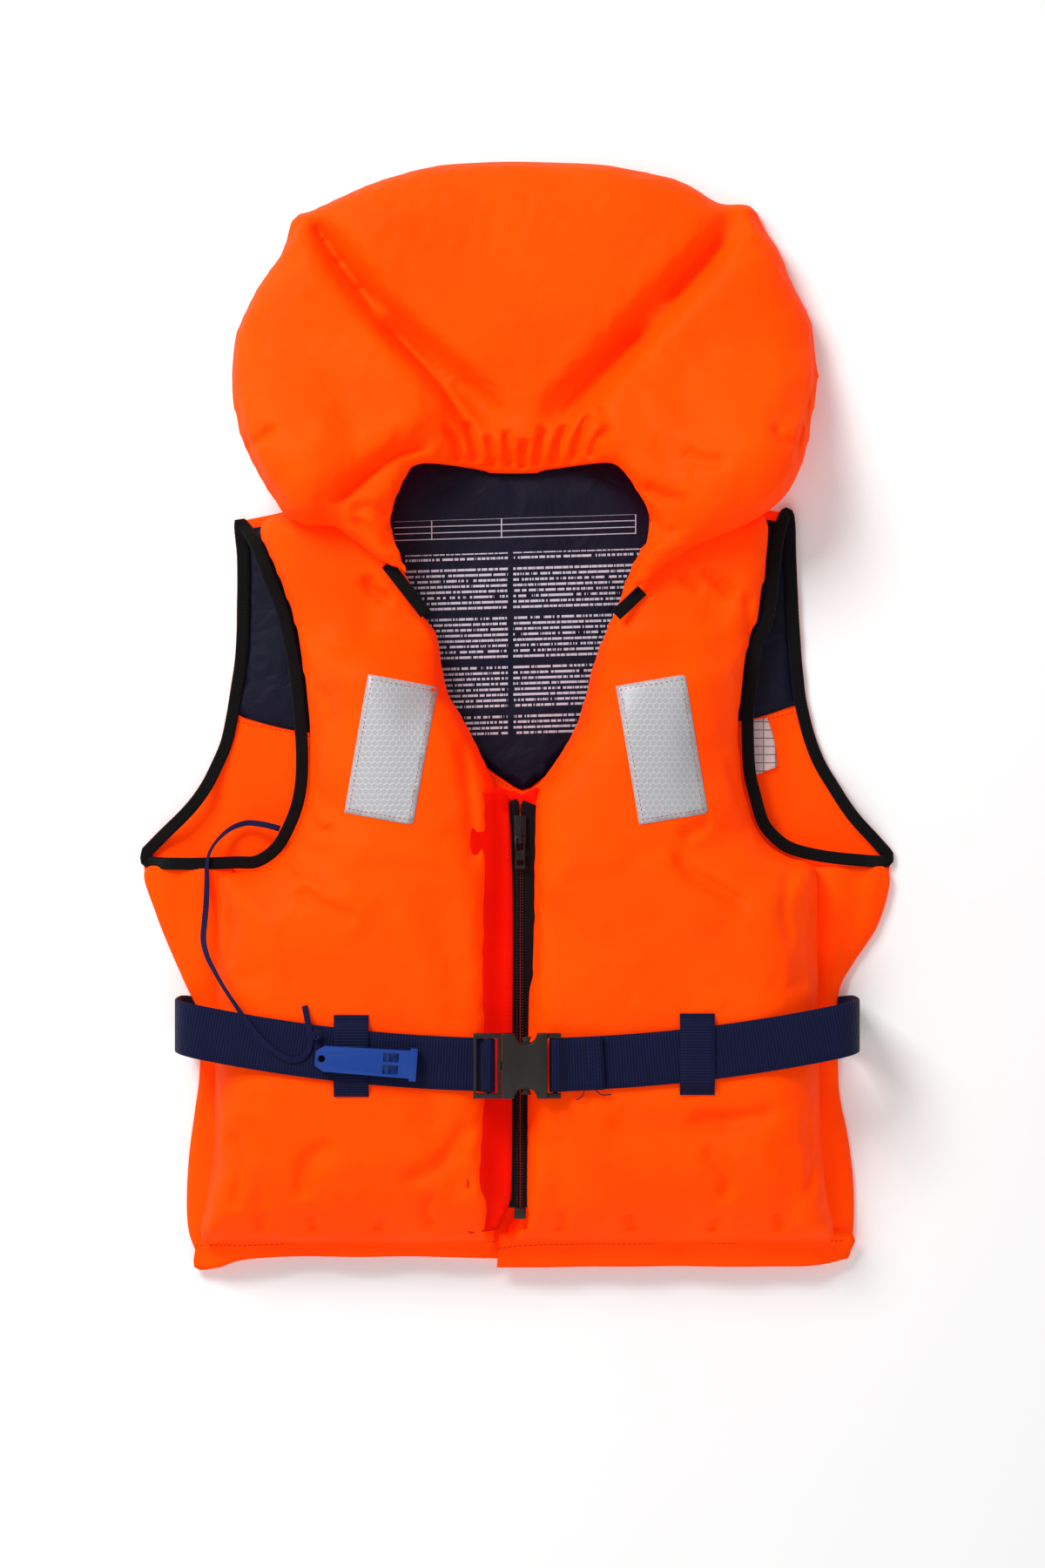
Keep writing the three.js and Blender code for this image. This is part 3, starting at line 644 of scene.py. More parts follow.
@dataclass(frozen=True)
class Finish:
    """A surface finish.

    Attributes:
        name: The material's name.
        slot: The record's material slot; not used.
        colour: Base colour, sRGB hex.
        roughness: Of the surface.
    """

    name: str
    slot: str
    colour: str
    roughness: float = 0.6

    def surface(self, tree: bpy.types.NodeTree, shader: bpy.types.Node) -> None:
        """Links the finish's pattern to the shader.

        Args:
            tree: The material's tree.
            shader: Its shader.
        """

    def material(self) -> bpy.types.Material:
        """The Blender material, made once."""
        found = bpy.data.materials.get(self.name)
        if found:
            return found
        made = bpy.data.materials.new(self.name)
        made.use_nodes = True
        tree = made.node_tree
        shader = tree.nodes["Principled BSDF"]
        shader.inputs["Base Color"].default_value = srgb(self.colour)
        shader.inputs["Roughness"].default_value = self.roughness
        self.surface(tree, shader)
        return made

    def dress(self, piece: bpy.types.Object) -> None:
        """Puts the finish on a piece.

        Args:
            piece: The piece.
        """
        piece.data.materials.clear()
        piece.data.materials.append(self.material())


def sine(tree: bpy.types.NodeTree, value: bpy.types.NodeSocket, rate: float) -> bpy.types.NodeSocket:
    """A wave along one coordinate.

    Args:
        tree: The tree that it joins.
        value: The coordinate.
        rate: Radians for each metre.

    Returns:
        The height socket.
    """
    angle = node(tree, "ShaderNodeMath", {0: value, 1: rate}, operation="MULTIPLY")
    return node(tree, "ShaderNodeMath", {0: angle.outputs[0]}, operation="SINE").outputs[0]


def weave(tree: bpy.types.NodeTree, place: bpy.types.NodeSocket, spacing: float) -> bpy.types.NodeSocket:
    """The height of a plain weave.

    Args:
        tree: The tree that it joins.
        place: Coordinates in metres.
        spacing: Thread spacing in millimetres.

    Returns:
        The height socket.
    """
    rate = 2 * math.pi / (2 * spacing * MM)
    split = node(tree, "ShaderNodeSeparateXYZ", {0: place})
    warp, weft = sine(tree, split.outputs[0], rate), sine(tree, split.outputs[1], rate)
    return node(tree, "ShaderNodeMath", {0: warp, 1: weft}, operation="MULTIPLY").outputs[0]


def ripples(tree: bpy.types.NodeTree, place: bpy.types.NodeSocket, size: float, detail: float,
            distortion: float) -> bpy.types.NodeSocket:
    """Uneven soft relief.

    Args:
        tree: The tree that it joins.
        place: Coordinates in metres.
        size: Width of a ripple in millimetres.
        detail: How much finer relief is in it.
        distortion: How much it swirls.

    Returns:
        The height socket.
    """
    made = node(tree, "ShaderNodeTexNoise", {"Vector": place, "Scale": 1 / (size * MM), "Detail": detail,
                                             "Roughness": 0.45, "Distortion": distortion})
    return made.outputs["Fac"]


@dataclass(frozen=True)
class ShellCloth(Finish):
    """Fluorescent coated polyester with a painted red glow: a constant emission keeps its folds red where shade
    falls.
    """

    second: str = "#FF4C00"
    painted_glow: str = "#FF0600"
    painted_glow_strength: float = 0.29
    thread: float = 0.9  # drawn at twice the real thread spacing so that it shows

    def surface(self, tree: bpy.types.NodeTree, shader: bpy.types.Node) -> None:
        """A close weave under a coating, soft handling creases and a slight change of tone."""
        place = node(tree, "ShaderNodeTexCoord").outputs["Object"]
        tone = node(tree, "ShaderNodeValToRGB", {0: ripples(tree, place, 70, 3, 0.4)})
        for element, position, colour in zip(tone.color_ramp.elements, (0.3, 0.72), (self.second, self.colour)):
            element.position = position
            element.color = srgb(colour)
        tree.links.new(tone.outputs[0], shader.inputs["Base Color"])
        # Painted glow: a constant red emission, though the cloth is no lamp, so that shaded folds stay red.
        shader.inputs["Emission Color"].default_value = srgb(self.painted_glow)
        shader.inputs["Emission Strength"].default_value = self.painted_glow_strength
        shader.inputs["Specular IOR Level"].default_value = 0.04
        creased = node(tree, "ShaderNodeBump", {"Height": ripples(tree, place, 52, 2.0, 0.9),
                                                "Strength": 0.16, "Distance": 0.005})
        woven = node(tree, "ShaderNodeBump", {"Height": weave(tree, place, self.thread), "Strength": 0.12,
                                              "Distance": 0.0002, "Normal": creased.outputs[0]})
        tree.links.new(woven.outputs[0], shader.inputs["Normal"])


@dataclass(frozen=True)
class LiningCloth(Finish):
    """Navy nylon taffeta with a slight satin sheen and small handling creases."""

    printed: bool = False
    ink: str = "#B9B6C4"

    def surface(self, tree: bpy.types.NodeTree, shader: bpy.types.Node) -> None:
        """A fine weave, creases, and on the printed lining a ruled panel with rows of grey strokes."""
        place = node(tree, "ShaderNodeTexCoord").outputs["Object"]
        shader.inputs["Sheen Weight"].default_value = 0.05
        shader.inputs["Sheen Tint"].default_value = srgb("#3A4A90")
        shader.inputs["Specular IOR Level"].default_value = 0.16
        creased = node(tree, "ShaderNodeBump", {"Height": ripples(tree, place, 30, 3, 1.2), "Strength": 0.45,
                                                "Distance": 0.005})
        woven = node(tree, "ShaderNodeBump", {"Height": weave(tree, place, 0.8), "Strength": 0.15,
                                              "Distance": 0.0002, "Normal": creased.outputs[0]})
        tree.links.new(woven.outputs[0], shader.inputs["Normal"])
        if self.printed:
            mask = self.print_mask(tree, place)
            ink = node(tree, "ShaderNodeMix", {"Factor": mask}, data_type="RGBA")
            for key, code in (("A", self.colour), ("B", self.ink)):
                [s for s in ink.inputs if s.name == key and s.type == "RGBA"][0].default_value = srgb(code)
            colour = [s for s in ink.outputs if s.type == "RGBA"][0]
            tree.links.new(colour, shader.inputs["Base Color"])

    def print_mask(self, tree: bpy.types.NodeTree, place: bpy.types.NodeSocket) -> bpy.types.NodeSocket:
        """Where the print is: two columns of unreadable strokes under a ruled table.

        Args:
            tree: The tree that it joins.
            place: Coordinates in metres.

        Returns:
            1 on ink, 0 elsewhere.
        """
        split = node(tree, "ShaderNodeSeparateXYZ", {0: place})
        found: dict[object, bpy.types.NodeSocket] = {"east": split.outputs[0], "north": split.outputs[1]}

        def work_out(*steps: tuple[str, str, object, object]) -> None:
            """Adds each step of arithmetic: its result's name, its operation, and two names or numbers."""
            for result, operation, first, second in steps:
                inputs = {0: found.get(first, first), 1: found.get(second, second)}
                found[result] = node(tree, "ShaderNodeMath", inputs, operation=operation).outputs[0]

        def mark(*bands: tuple[str, str, float, float]) -> None:
            """Adds each band: its name, and the value that is 1 between two limits and 0 elsewhere."""
            for result, value, low, high in bands:
                work_out(("above", "GREATER_THAN", value, low), ("below", "LESS_THAN", value, high),
                         (result, "MULTIPLY", "above", "below"))

        # Millimetres, the rows slightly tilted as the lining lies; a row of strokes every 4 mm.
        work_out(("x", "MULTIPLY", "east", 1000.0), ("tilt", "MULTIPLY", "x", 0.03),
                 ("up", "MULTIPLY", "north", 1000.0), ("y", "SUBTRACT", "up", "tilt"),
                 ("row", "DIVIDE", "y", 4.0), ("in_row", "FRACT", "row", 0.0), ("number", "FLOOR", "row", 0.0),
                 ("stroke_x", "MULTIPLY", "x", 0.62), ("stroke_y", "MULTIPLY", "number", 7.31))
        letters = node(tree, "ShaderNodeCombineXYZ", {0: found["stroke_x"], 1: found["stroke_y"]})
        strokes = node(tree, "ShaderNodeTexNoise", {"Vector": letters.outputs[0], "Scale": 1.0, "Detail": 1.0})
        found["noise"] = strokes.outputs["Fac"]
        mark(("line", "in_row", 0.28, 0.72), ("left", "x", -82, -7), ("right", "x", -3, 96),
             ("text_height", "y", -16, 118))
        # Strokes where the noise is high, with every ninth row left out between the blocks.
        work_out(("stroke", "GREATER_THAN", "noise", 0.43), ("inked", "MULTIPLY", "line", "stroke"),
                 ("block", "MODULO", "number", 9.0), ("block_row", "ABSOLUTE", "block", 0.0),
                 ("not_gap", "GREATER_THAN", "block_row", 0.5), ("inked", "MULTIPLY", "inked", "not_gap"),
                 ("columns", "ADD", "left", "right"), ("text", "MULTIPLY", "inked", "columns"),
                 ("text", "MULTIPLY", "text", "text_height"),
                 ("rule", "DIVIDE", "y", 4.6), ("rule_part", "FRACT", "rule", 0.0))
        # The ruled table: lines every 4.6 mm and three posts.
        mark(("rules", "rule_part", 0.0, 0.14), ("first", "x", -63, -62.2), ("middle", "x", -12, -11.2),
             ("last", "x", 86, 86.8), ("table_height", "y", 128.6, 142.8), ("table_width", "x", -90, 86.8))
        work_out(("posts", "ADD", "middle", "last"), ("posts", "ADD", "first", "posts"),
                 ("grid", "MAXIMUM", "rules", "posts"), ("table_place", "MULTIPLY", "table_height", "table_width"),
                 ("table", "MULTIPLY", "grid", "table_place"), ("ink", "ADD", "text", "table"),
                 ("ink", "MINIMUM", "ink", 1.0))
        return found["ink"]


@dataclass(frozen=True)
class Webbing(Finish):
    """Woven nylon webbing: ribs across its width, in the piece's own map."""

    rib: float = 2.1
    # Painted shade: the low parts of the rib relief take this darker colour.
    groove_shade: str = "#04061A"

    def surface(self, tree: bpy.types.NodeTree, shader: bpy.types.Node) -> None:
        """Ribs with painted shade in the gap between them, broken into threads by a finer crossing wave."""
        along = node(tree, "ShaderNodeUVMap", uv_map="Along").outputs[0]
        split = node(tree, "ShaderNodeSeparateXYZ", {0: along})
        rate = 2 * math.pi / (self.rib * MM)
        ribs, warp = sine(tree, split.outputs[0], rate), sine(tree, split.outputs[1], rate * 1.6)
        height = node(tree, "ShaderNodeMath", {0: warp, 1: 0.35, 2: ribs}, operation="MULTIPLY_ADD")
        level = node(tree, "ShaderNodeMapRange", {"Value": height.outputs[0], "From Min": -1.3, "From Max": 1.3})
        tone = node(tree, "ShaderNodeValToRGB", {0: level.outputs[0]})
        tone.color_ramp.elements[0].color = srgb(self.groove_shade)
        tone.color_ramp.elements[1].color = srgb(self.colour)
        tone.color_ramp.elements[1].position = 0.8
        tree.links.new(tone.outputs[0], shader.inputs["Base Color"])
        shader.inputs["Sheen Weight"].default_value = 0.04
        shader.inputs["Specular IOR Level"].default_value = 0.12
        bump = node(tree, "ShaderNodeBump", {"Height": height.outputs[0], "Strength": 0.6,
                                             "Distance": 0.0004})
        tree.links.new(bump.outputs[0], shader.inputs["Normal"])


@dataclass(frozen=True)
class MouldedPlastic(Finish):
    """Injection-moulded plastic with a fine eroded texture and slightly uneven gloss."""

    grain: float = 0.9

    def surface(self, tree: bpy.types.NodeTree, shader: bpy.types.Node) -> None:
        """A fine grain in the relief and cloudy gloss."""
        shader.inputs["Specular IOR Level"].default_value = 0.3
        place = node(tree, "ShaderNodeTexCoord").outputs["Object"]
        gloss = node(tree, "ShaderNodeMapRange", {"Value": ripples(tree, place, 9, 3, 0),
                                                  "To Min": self.roughness - 0.07,
                                                  "To Max": self.roughness + 0.08})
        tree.links.new(gloss.outputs[0], shader.inputs["Roughness"])
        bump = node(tree, "ShaderNodeBump", {"Height": ripples(tree, place, self.grain, 2, 0),
                                             "Strength": 0.12, "Distance": 0.0002})
        tree.links.new(bump.outputs[0], shader.inputs["Normal"])


@dataclass(frozen=True)
class Retroreflective(Finish):
    """Prismatic safety tape: silver cells with pale ribs in a honeycomb."""

    cell: float = 4.4
    rib: str = "#C9C9CC"

    def surface(self, tree: bpy.types.NodeTree, shader: bpy.types.Node) -> None:
        """Hexagons found by the nearer of two staggered grids."""
        place = node(tree, "ShaderNodeTexCoord").outputs["Object"]
        rate = 1 / (self.cell * MM)
        wide = node(tree, "ShaderNodeVectorMath", {0: place, 1: (rate, rate, 0)}, operation="MULTIPLY").outputs[0]
        period = (1.0, math.sqrt(3), 1.0)
        half = (0.5, math.sqrt(3) / 2, 0.5)
        grids = []
        for shift in ((64.0, 64 * math.sqrt(3), 0.25), (64.5, 64.5 * math.sqrt(3), 0.25)):
            moved = node(tree, "ShaderNodeVectorMath", {0: wide, 1: shift}, operation="ADD").outputs[0]
            wrapped = node(tree, "ShaderNodeVectorMath", {0: moved, 1: period}, operation="MODULO")
            centred = node(tree, "ShaderNodeVectorMath", {0: wrapped.outputs[0], 1: half},
                           operation="SUBTRACT").outputs[0]
            size = node(tree, "ShaderNodeVectorMath", {0: centred}, operation="LENGTH").outputs["Value"]
            grids.append((centred, size))
        first = node(tree, "ShaderNodeMath", {0: grids[0][1], 1: grids[1][1]}, operation="LESS_THAN")
        mixed = node(tree, "ShaderNodeMix", {"Factor": first.outputs[0]}, data_type="VECTOR")
        vectors = [s for s in mixed.inputs if s.type == "VECTOR" and s.name in "AB"]
        tree.links.new(grids[1][0], vectors[0])
        tree.links.new(grids[0][0], vectors[1])
        chosen = [s for s in mixed.outputs if s.type == "VECTOR"][0]
        positive = node(tree, "ShaderNodeVectorMath", {0: chosen}, operation="ABSOLUTE").outputs[0]
        slant = node(tree, "ShaderNodeVectorMath", {0: positive, 1: (0.5, math.sqrt(3) / 2, 0)},
                     operation="DOT_PRODUCT").outputs["Value"]
        flat = node(tree, "ShaderNodeSeparateXYZ", {0: positive}).outputs[0]
        reach = node(tree, "ShaderNodeMath", {0: slant, 1: flat}, operation="MAXIMUM").outputs[0]
        line = node(tree, "ShaderNodeMapRange", {"Value": reach, "From Min": 0.42, "From Max": 0.47})
        tone = node(tree, "ShaderNodeValToRGB", {0: line.outputs[0]})
        tone.color_ramp.elements[0].color = srgb(self.colour)
        tone.color_ramp.elements[1].color = srgb(self.rib)
        tree.links.new(tone.outputs[0], shader.inputs["Base Color"])
        shader.inputs["Metallic"].default_value = 0.15
        bump = node(tree, "ShaderNodeBump", {"Height": line.outputs[0], "Strength": 0.4, "Distance": 0.0003})
        tree.links.new(bump.outputs[0], shader.inputs["Normal"])


@dataclass(frozen=True)
class LabelSatin(Finish):
    """White satin label with a thin ruled grid, painted pink for the orange light that the shell around it throws
    on it.
    """

    # Both tones hold painted orange light on white satin.
    second: str = "#E2CACA"
    rule: str = "#7A6A6C"

    def surface(self, tree: bpy.types.NodeTree, shader: bpy.types.Node) -> None:
        """Grey rules every few millimetres."""
        place = node(tree, "ShaderNodeTexCoord").outputs["Object"]
        rules = node(tree, "ShaderNodeTexBrick", {
            "Vector": place, "Color1": srgb(self.colour), "Color2": srgb(self.second), "Mortar": srgb(self.rule),
            "Scale": 1.0, "Mortar Size": 0.0004, "Brick Width": 0.009, "Row Height": 0.006}, offset=0.0)
        tree.links.new(rules.outputs["Color"], shader.inputs["Base Color"])


@dataclass(frozen=True)
class Paper(Finish):
    """Matt white studio paper with the faintest tooth."""

    def surface(self, tree: bpy.types.NodeTree, shader: bpy.types.Node) -> None:
        """A barely visible grain."""
        place = node(tree, "ShaderNodeTexCoord").outputs["Object"]
        bump = node(tree, "ShaderNodeBump", {"Height": ripples(tree, place, 6, 2, 0), "Strength": 0.02,
                                             "Distance": 0.0005})
        tree.links.new(bump.outputs[0], shader.inputs["Normal"])


# The jacket's main cloth: a flat orange with a painted red glow, which keeps its folds red in shade.
SHELL = ShellCloth("coated_polyester_orange", "shell_fabric", "#FF5400", 0.6)
# The same cloth doubled in the cleft beside the teeth, coloured deeper red as painted shade for the cleft, with a
# weaker painted glow.
PAINTED_SHADE_FACING = ShellCloth("coated_polyester_facing_painted_shade", "shell_fabric", "#E41200", 0.65, second="#D20C00",
                    painted_glow_strength=0.18)
# A dark, slightly satin inside that sets off the orange.
LINING = LiningCloth("nylon_taffeta_navy", "lining_fabric", "#0A0820", 0.55)
# The same lining with a block of pale, unreadable print at the back of the neck.
PRINTED_LINING = LiningCloth("nylon_taffeta_navy_printed", "lining_fabric", "#0A0820", 0.55, printed=True)
# A matt black ribbed line round the armholes and the collar's ends.
BINDING = Webbing("grosgrain_binding_black", "binding_tape", "#0B0B0C", 0.85, rib=1.6, groove_shade="#020202")
# Navy bands with clear ribs across them.
BELT = Webbing("nylon_webbing_navy", "webbing", "#0D1440", 0.65)
# A thin navy line with a finer rib.
TAPE = Webbing("woven_lanyard_navy", "webbing", "#16174A", 0.65, rib=1.4)
# Two matt, almost black strips beside the teeth.
ZIP_TAPE = Webbing("woven_zip_tape_black", "zip_teeth", "#10060A", 0.8, rib=1.2, groove_shade="#08070A")
# Small dark beads with a soft glint.
TEETH = MouldedPlastic("moulded_acetal_teeth", "zip_teeth", "#1A060A", 0.4)
# Warm black plastic, a little glossy on its edges.
ACETAL = MouldedPlastic("moulded_acetal_black", "black_plastic", "#1E1714", 0.42)
# Black paint over cast metal, slightly glossier and less even than the plastic.
ENAMEL = MouldedPlastic("enamelled_zinc_black", "black_plastic", "#16070A", 0.36, grain=2.0)
# The one clear blue on the jacket.
BLUE = MouldedPlastic("moulded_abs_blue", "blue_plastic", "#03398C", 0.4)
# Light silver with a pale honeycomb.
SILVER = Retroreflective("retroreflective_tape", "reflective_tape", "#B0B0B3", 0.45)
# A small white flash inside the armhole, painted pink for the orange light around it.
LABEL = LabelSatin("satin_label", "label", "#E6C8C8", 0.5)
# Stitches a shade darker than the shell, so that seams read as fine broken lines.
ORANGE_THREAD = MouldedPlastic("polyester_thread_orange", "shell_fabric", "#C81E00", 0.7)
# Stitches that stand out against silver and orange.
RED_THREAD = MouldedPlastic("polyester_thread_red", "reflective_tape", "#C84A3C", 0.7)
# Stitches that almost vanish in the webbing.
NAVY_THREAD = MouldedPlastic("polyester_thread_navy", "webbing", "#0B1136", 0.7)
# A clean white ground.
PAPER = Paper("studio_paper", "", "#FFFFFF", 0.9)


# ---- Rows made by Geometry Nodes ----------------------------------------------------------------


class RowTree:
    """A Geometry Nodes tree that sets small rounded bars along a line."""

    tree: bpy.types.NodeTree | None = None
    sockets: dict[str, str] = {}

    @classmethod
    def get(cls) -> bpy.types.NodeTree:
        """The tree, made once: line, even points, one bar at each, real mesh, material."""
        if cls.tree:
            return cls.tree
        tree = bpy.data.node_groups.new("Row of bars", "GeometryNodeTree")
        face = tree.interface
        face.new_socket("Geometry", in_out="INPUT", socket_type="NodeSocketGeometry")
        kinds = dict.fromkeys(("Pitch", "Length", "Width", "Height", "Turn"), "NodeSocketFloat")
        for name, kind in (*kinds.items(), ("Finish", "NodeSocketMaterial")):
            cls.sockets[name] = face.new_socket(name, in_out="INPUT", socket_type=kind).identifier
        face.new_socket("Geometry", in_out="OUTPUT", socket_type="NodeSocketGeometry")
        given = node(tree, "NodeGroupInput").outputs
        line = node(tree, "GeometryNodeMeshToCurve", {0: given["Geometry"]})
        even = node(tree, "GeometryNodeResampleCurve", {"Curve": line.outputs[0], "Length": given["Pitch"]},
                    mode="LENGTH")
        tangent = node(tree, "GeometryNodeInputTangent")
        facing = node(tree, "FunctionNodeAlignEulerToVector", {"Vector": tangent.outputs[0]}, axis="X")
        turned = node(tree, "FunctionNodeRotateEuler", {"Rotation": facing.outputs[0], "Axis": (0, 0, 1),
                                                        "Angle": given["Turn"]},
                      rotation_type="AXIS_ANGLE", space="LOCAL")
        bar = node(tree, "GeometryNodeMeshUVSphere", {"Segments": 8, "Rings": 5, "Radius": 0.5})
        size = node(tree, "ShaderNodeCombineXYZ", {0: given["Length"], 1: given["Width"], 2: given["Height"]})
        placed = node(tree, "GeometryNodeInstanceOnPoints", {
            "Points": even.outputs[0], "Instance": bar.outputs["Mesh"], "Rotation": turned.outputs[0],
            "Scale": size.outputs[0]})
        real = node(tree, "GeometryNodeRealizeInstances", {0: placed.outputs[0]})
        dressed = node(tree, "GeometryNodeSetMaterial", {0: real.outputs[0], "Material": given["Finish"]})
        node(tree, "NodeGroupOutput", {0: dressed.outputs[0]})
        cls.tree = tree
        return tree


def row(name: str, lines: Sequence[Array], finish: Finish, body: str, pitch: float, length: float,
        width: float, height: float, turn: float = 0.0) -> bpy.types.Object:
    """Rows of stitches or teeth along lines, as one plain mesh.

    Args:
        name: Name of the piece.
        lines: Points of each line, in millimetres.
        finish: Its finish.
        body: The body that it rides on.
        pitch: Distance between the bars.
        length: Of a bar, along the line.
        width: Of a bar.
        height: Of a bar.
        turn: Angle of each bar to the line, in degrees.

    Returns:
        The object.
    """
    points, edges = [], []
    for line in lines:
        first = len(points)
        points += [tuple(p * MM) for p in line]
        edges += [(first + i, first + i + 1) for i in range(len(line) - 1)]
    mesh = bpy.data.meshes.new(name)
    mesh.from_pydata(points, edges, [])
    piece = bpy.data.objects.new(name, mesh)
    bpy.context.scene.collection.objects.link(piece)
    made = piece.modifiers.new("Row", "NODES")
    made.node_group = RowTree.get()
    values = {"Pitch": pitch * MM, "Length": length * MM, "Width": width * MM, "Height": height * MM,
              "Turn": math.radians(turn), "Finish": finish.material()}
    for key, value in values.items():
        made[RowTree.sockets[key]] = value
    bake(piece)
    piece.data.shade_smooth()
    finish.dress(piece)
    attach(piece, body)
    return piece


# ---- Torso --------------------------------------------------------------------------------------


ARM_BACK = {  # outer edge of the back at each armhole, from the shoulder down
    Side.LEFT: ((-207, 140), (-205, 113), (-205, 83), (-206, 47), (-210, 17), (-216, -16), (-224, -37),
                (-233, -55), (-245, -70), (-263, -87), (-275, -99), (-275, -99)),
    Side.RIGHT: ((202, 146), (204, 110), (206, 70), (209, 30), (213, 2), (222, -28), (235, -52), (248, -72),
                 (263, -88), (275, -101), (275, -101)),
}
ARM_FRONT = {  # edge of the front at each armhole, from the lowest corner up
    Side.LEFT: ((-273, -112), (-273, -112), (-242, -114), (-206, -113), (-188, -112), (-172, -101), (-161, -82),
                (-154, -60), (-152, -33), (-154, 0), (-157, 29), (-161, 51), (-167, 76), (-176, 99),
                (-183, 117), (-190, 131), (-200, 143), (-200, 143)),
    Side.RIGHT: ((272, -112), (272, -112), (244, -111), (219, -108), (199, -103), (187, -96), (175, -82),
                 (168, -59), (164, -39), (163, 0), (166, 22), (170, 51), (177, 67), (180, 84), (182, 102),
                 (185, 126), (192, 148), (192, 148)),
}
SIDE_EDGE = {  # outer edge below the armhole
    Side.LEFT: ((-273, -114), (-265, -145), (-251, -180), (-238, -207), (-232, -222), (-232, -258), (-236, -290),
                (-240, -320), (-242, -352), (-241, -376), (-236, -392), (-229, -403), (-229, -403)),
    Side.RIGHT: ((272, -115), (265, -152), (247, -181), (236, -199), (233, -222), (234, -250), (236, -280),
                 (242, -310), (246, -345), (246, -376), (243, -399), (243, -399)),
}
BELT_BAND = (-261.0, -198.0)  # the back panel is raised over the belt between these


def band_lift(y: Array) -> Array:
    """How far the back is lifted by the belt under it."""
    low, high = BELT_BAND
    return 5.0 * smooth(low - 14, low + 6, y) * smooth(high + 14, high - 2, y)


def belt_line(out: Array) -> Array:
    """How far up the jacket the belt's middle lies, from the distance to the jacket's middle."""
    return BELT_MIDDLE + BELT_RISE * (out / BELT_SIDE) ** 2


@dataclass
class Back:
    """The back panel and the navy lining on its inner face."""

    thickness: float = 1.4
    lining_gap: float = 2.3
    seam: dict[Side, tuple[Point, Point]] = field(default_factory=lambda: {
        Side.LEFT: ((-206, -2), (-150, -14)), Side.RIGHT: ((211, 7), (160, -6))})

    def outline(self) -> Array:
        """The back's edge."""
        neck = [(0, 197), (60, 197), (94, 184), (150, 156), (202, 146), (202, 146)]
        left = [(-207, 140), (-207, 140), (-150, 154), (-94, 184), (-60, 197)]
        hem = [(150, -399), (0, -399), (-150, -396), (-229, -403)]
        right = list(ARM_BACK[Side.RIGHT][1:]) + list(SIDE_EDGE[Side.RIGHT])
        back_up = list(SIDE_EDGE[Side.LEFT])[::-1][1:] + list(ARM_BACK[Side.LEFT])[::-1][:-1]
        return curve(neck + right + hem + back_up + left, 7.0, closed=True)

    def build(self) -> list[bpy.types.Object]:
        """Makes the panel and its lining."""
        loop = self.outline()

        def low(x: Array, y: Array, away: Array) -> Array:
            """The panel's underside: on the floor, with slight waves."""
            return band_lift(y) + 0.5 * (1 + crossing_waves(x, y, 90, 3)) * smooth(0, 25, away)

        panel = between("back_cloth", loop, 9.0, low, lambda x, y, d: low(x, y, d) + self.thickness)
        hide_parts("back_panel")
        (l0, l1), (r0, r1) = self.seam[Side.LEFT], self.seam[Side.RIGHT]
        chevron = [(l1[0], l1[1]), (-62, -16), (-12, -47), (4, -56), (20, -46), (60, -14), (r1[0], r1[1])]
        upper = [p for p in inset(loop, 7.0) if p[1] > 6 or (abs(p[0]) > 204 and p[1] > -2)]
        order = sorted(upper, key=lambda p: math.atan2(p[0], p[1] - 40))
        edge = [(-200, -3), *[tuple(p) for p in order], (204, 6)]
        lining_loop = curve([*edge, *chevron[::-1]], 7.0, closed=True)

        def base(x: Array, y: Array, away: Array) -> Array:
            """The lining's underside: just above the panel, lifted in loose folds."""
            folds = 1.6 * (1 + crossing_waves(x, y, 55, 8)) * smooth(0, 30, away)
            neck_roll = 3.5 * smooth(120, 160, y) * smooth(110, 70, np.abs(x)) * smooth(0, 12, away)
            return self.lining_gap + folds + neck_roll

        lining = between("back_lining_cloth", lining_loop, 7.0, base, lambda x, y, d: base(x, y, d) + 0.8)
        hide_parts("back_lining")
        return [panel, lining]

    def dress(self, made: list[bpy.types.Object]) -> None:
        """Gives both their cloth and stitches the seam between them."""
        SHELL.dress(made[0])
        PRINTED_LINING.dress(made[1])
        for piece in made:
            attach(piece, "jacket")
        ground = Surfaces(*made)
        lines = [curve([(-204, -6), (-150, -17)], 5), curve([(211, 3), (160, -10)], 5),
                 curve([(-60, -19), (-12, -50), (4, -59), (20, -49), (58, -17)], 5)]
        laid = [ground.lay(line, 0.3) for line in lines]
        row("seam_stitches_lining", laid, ORANGE_THREAD, "jacket", 3.4, 2.6, 0.6, 0.5)


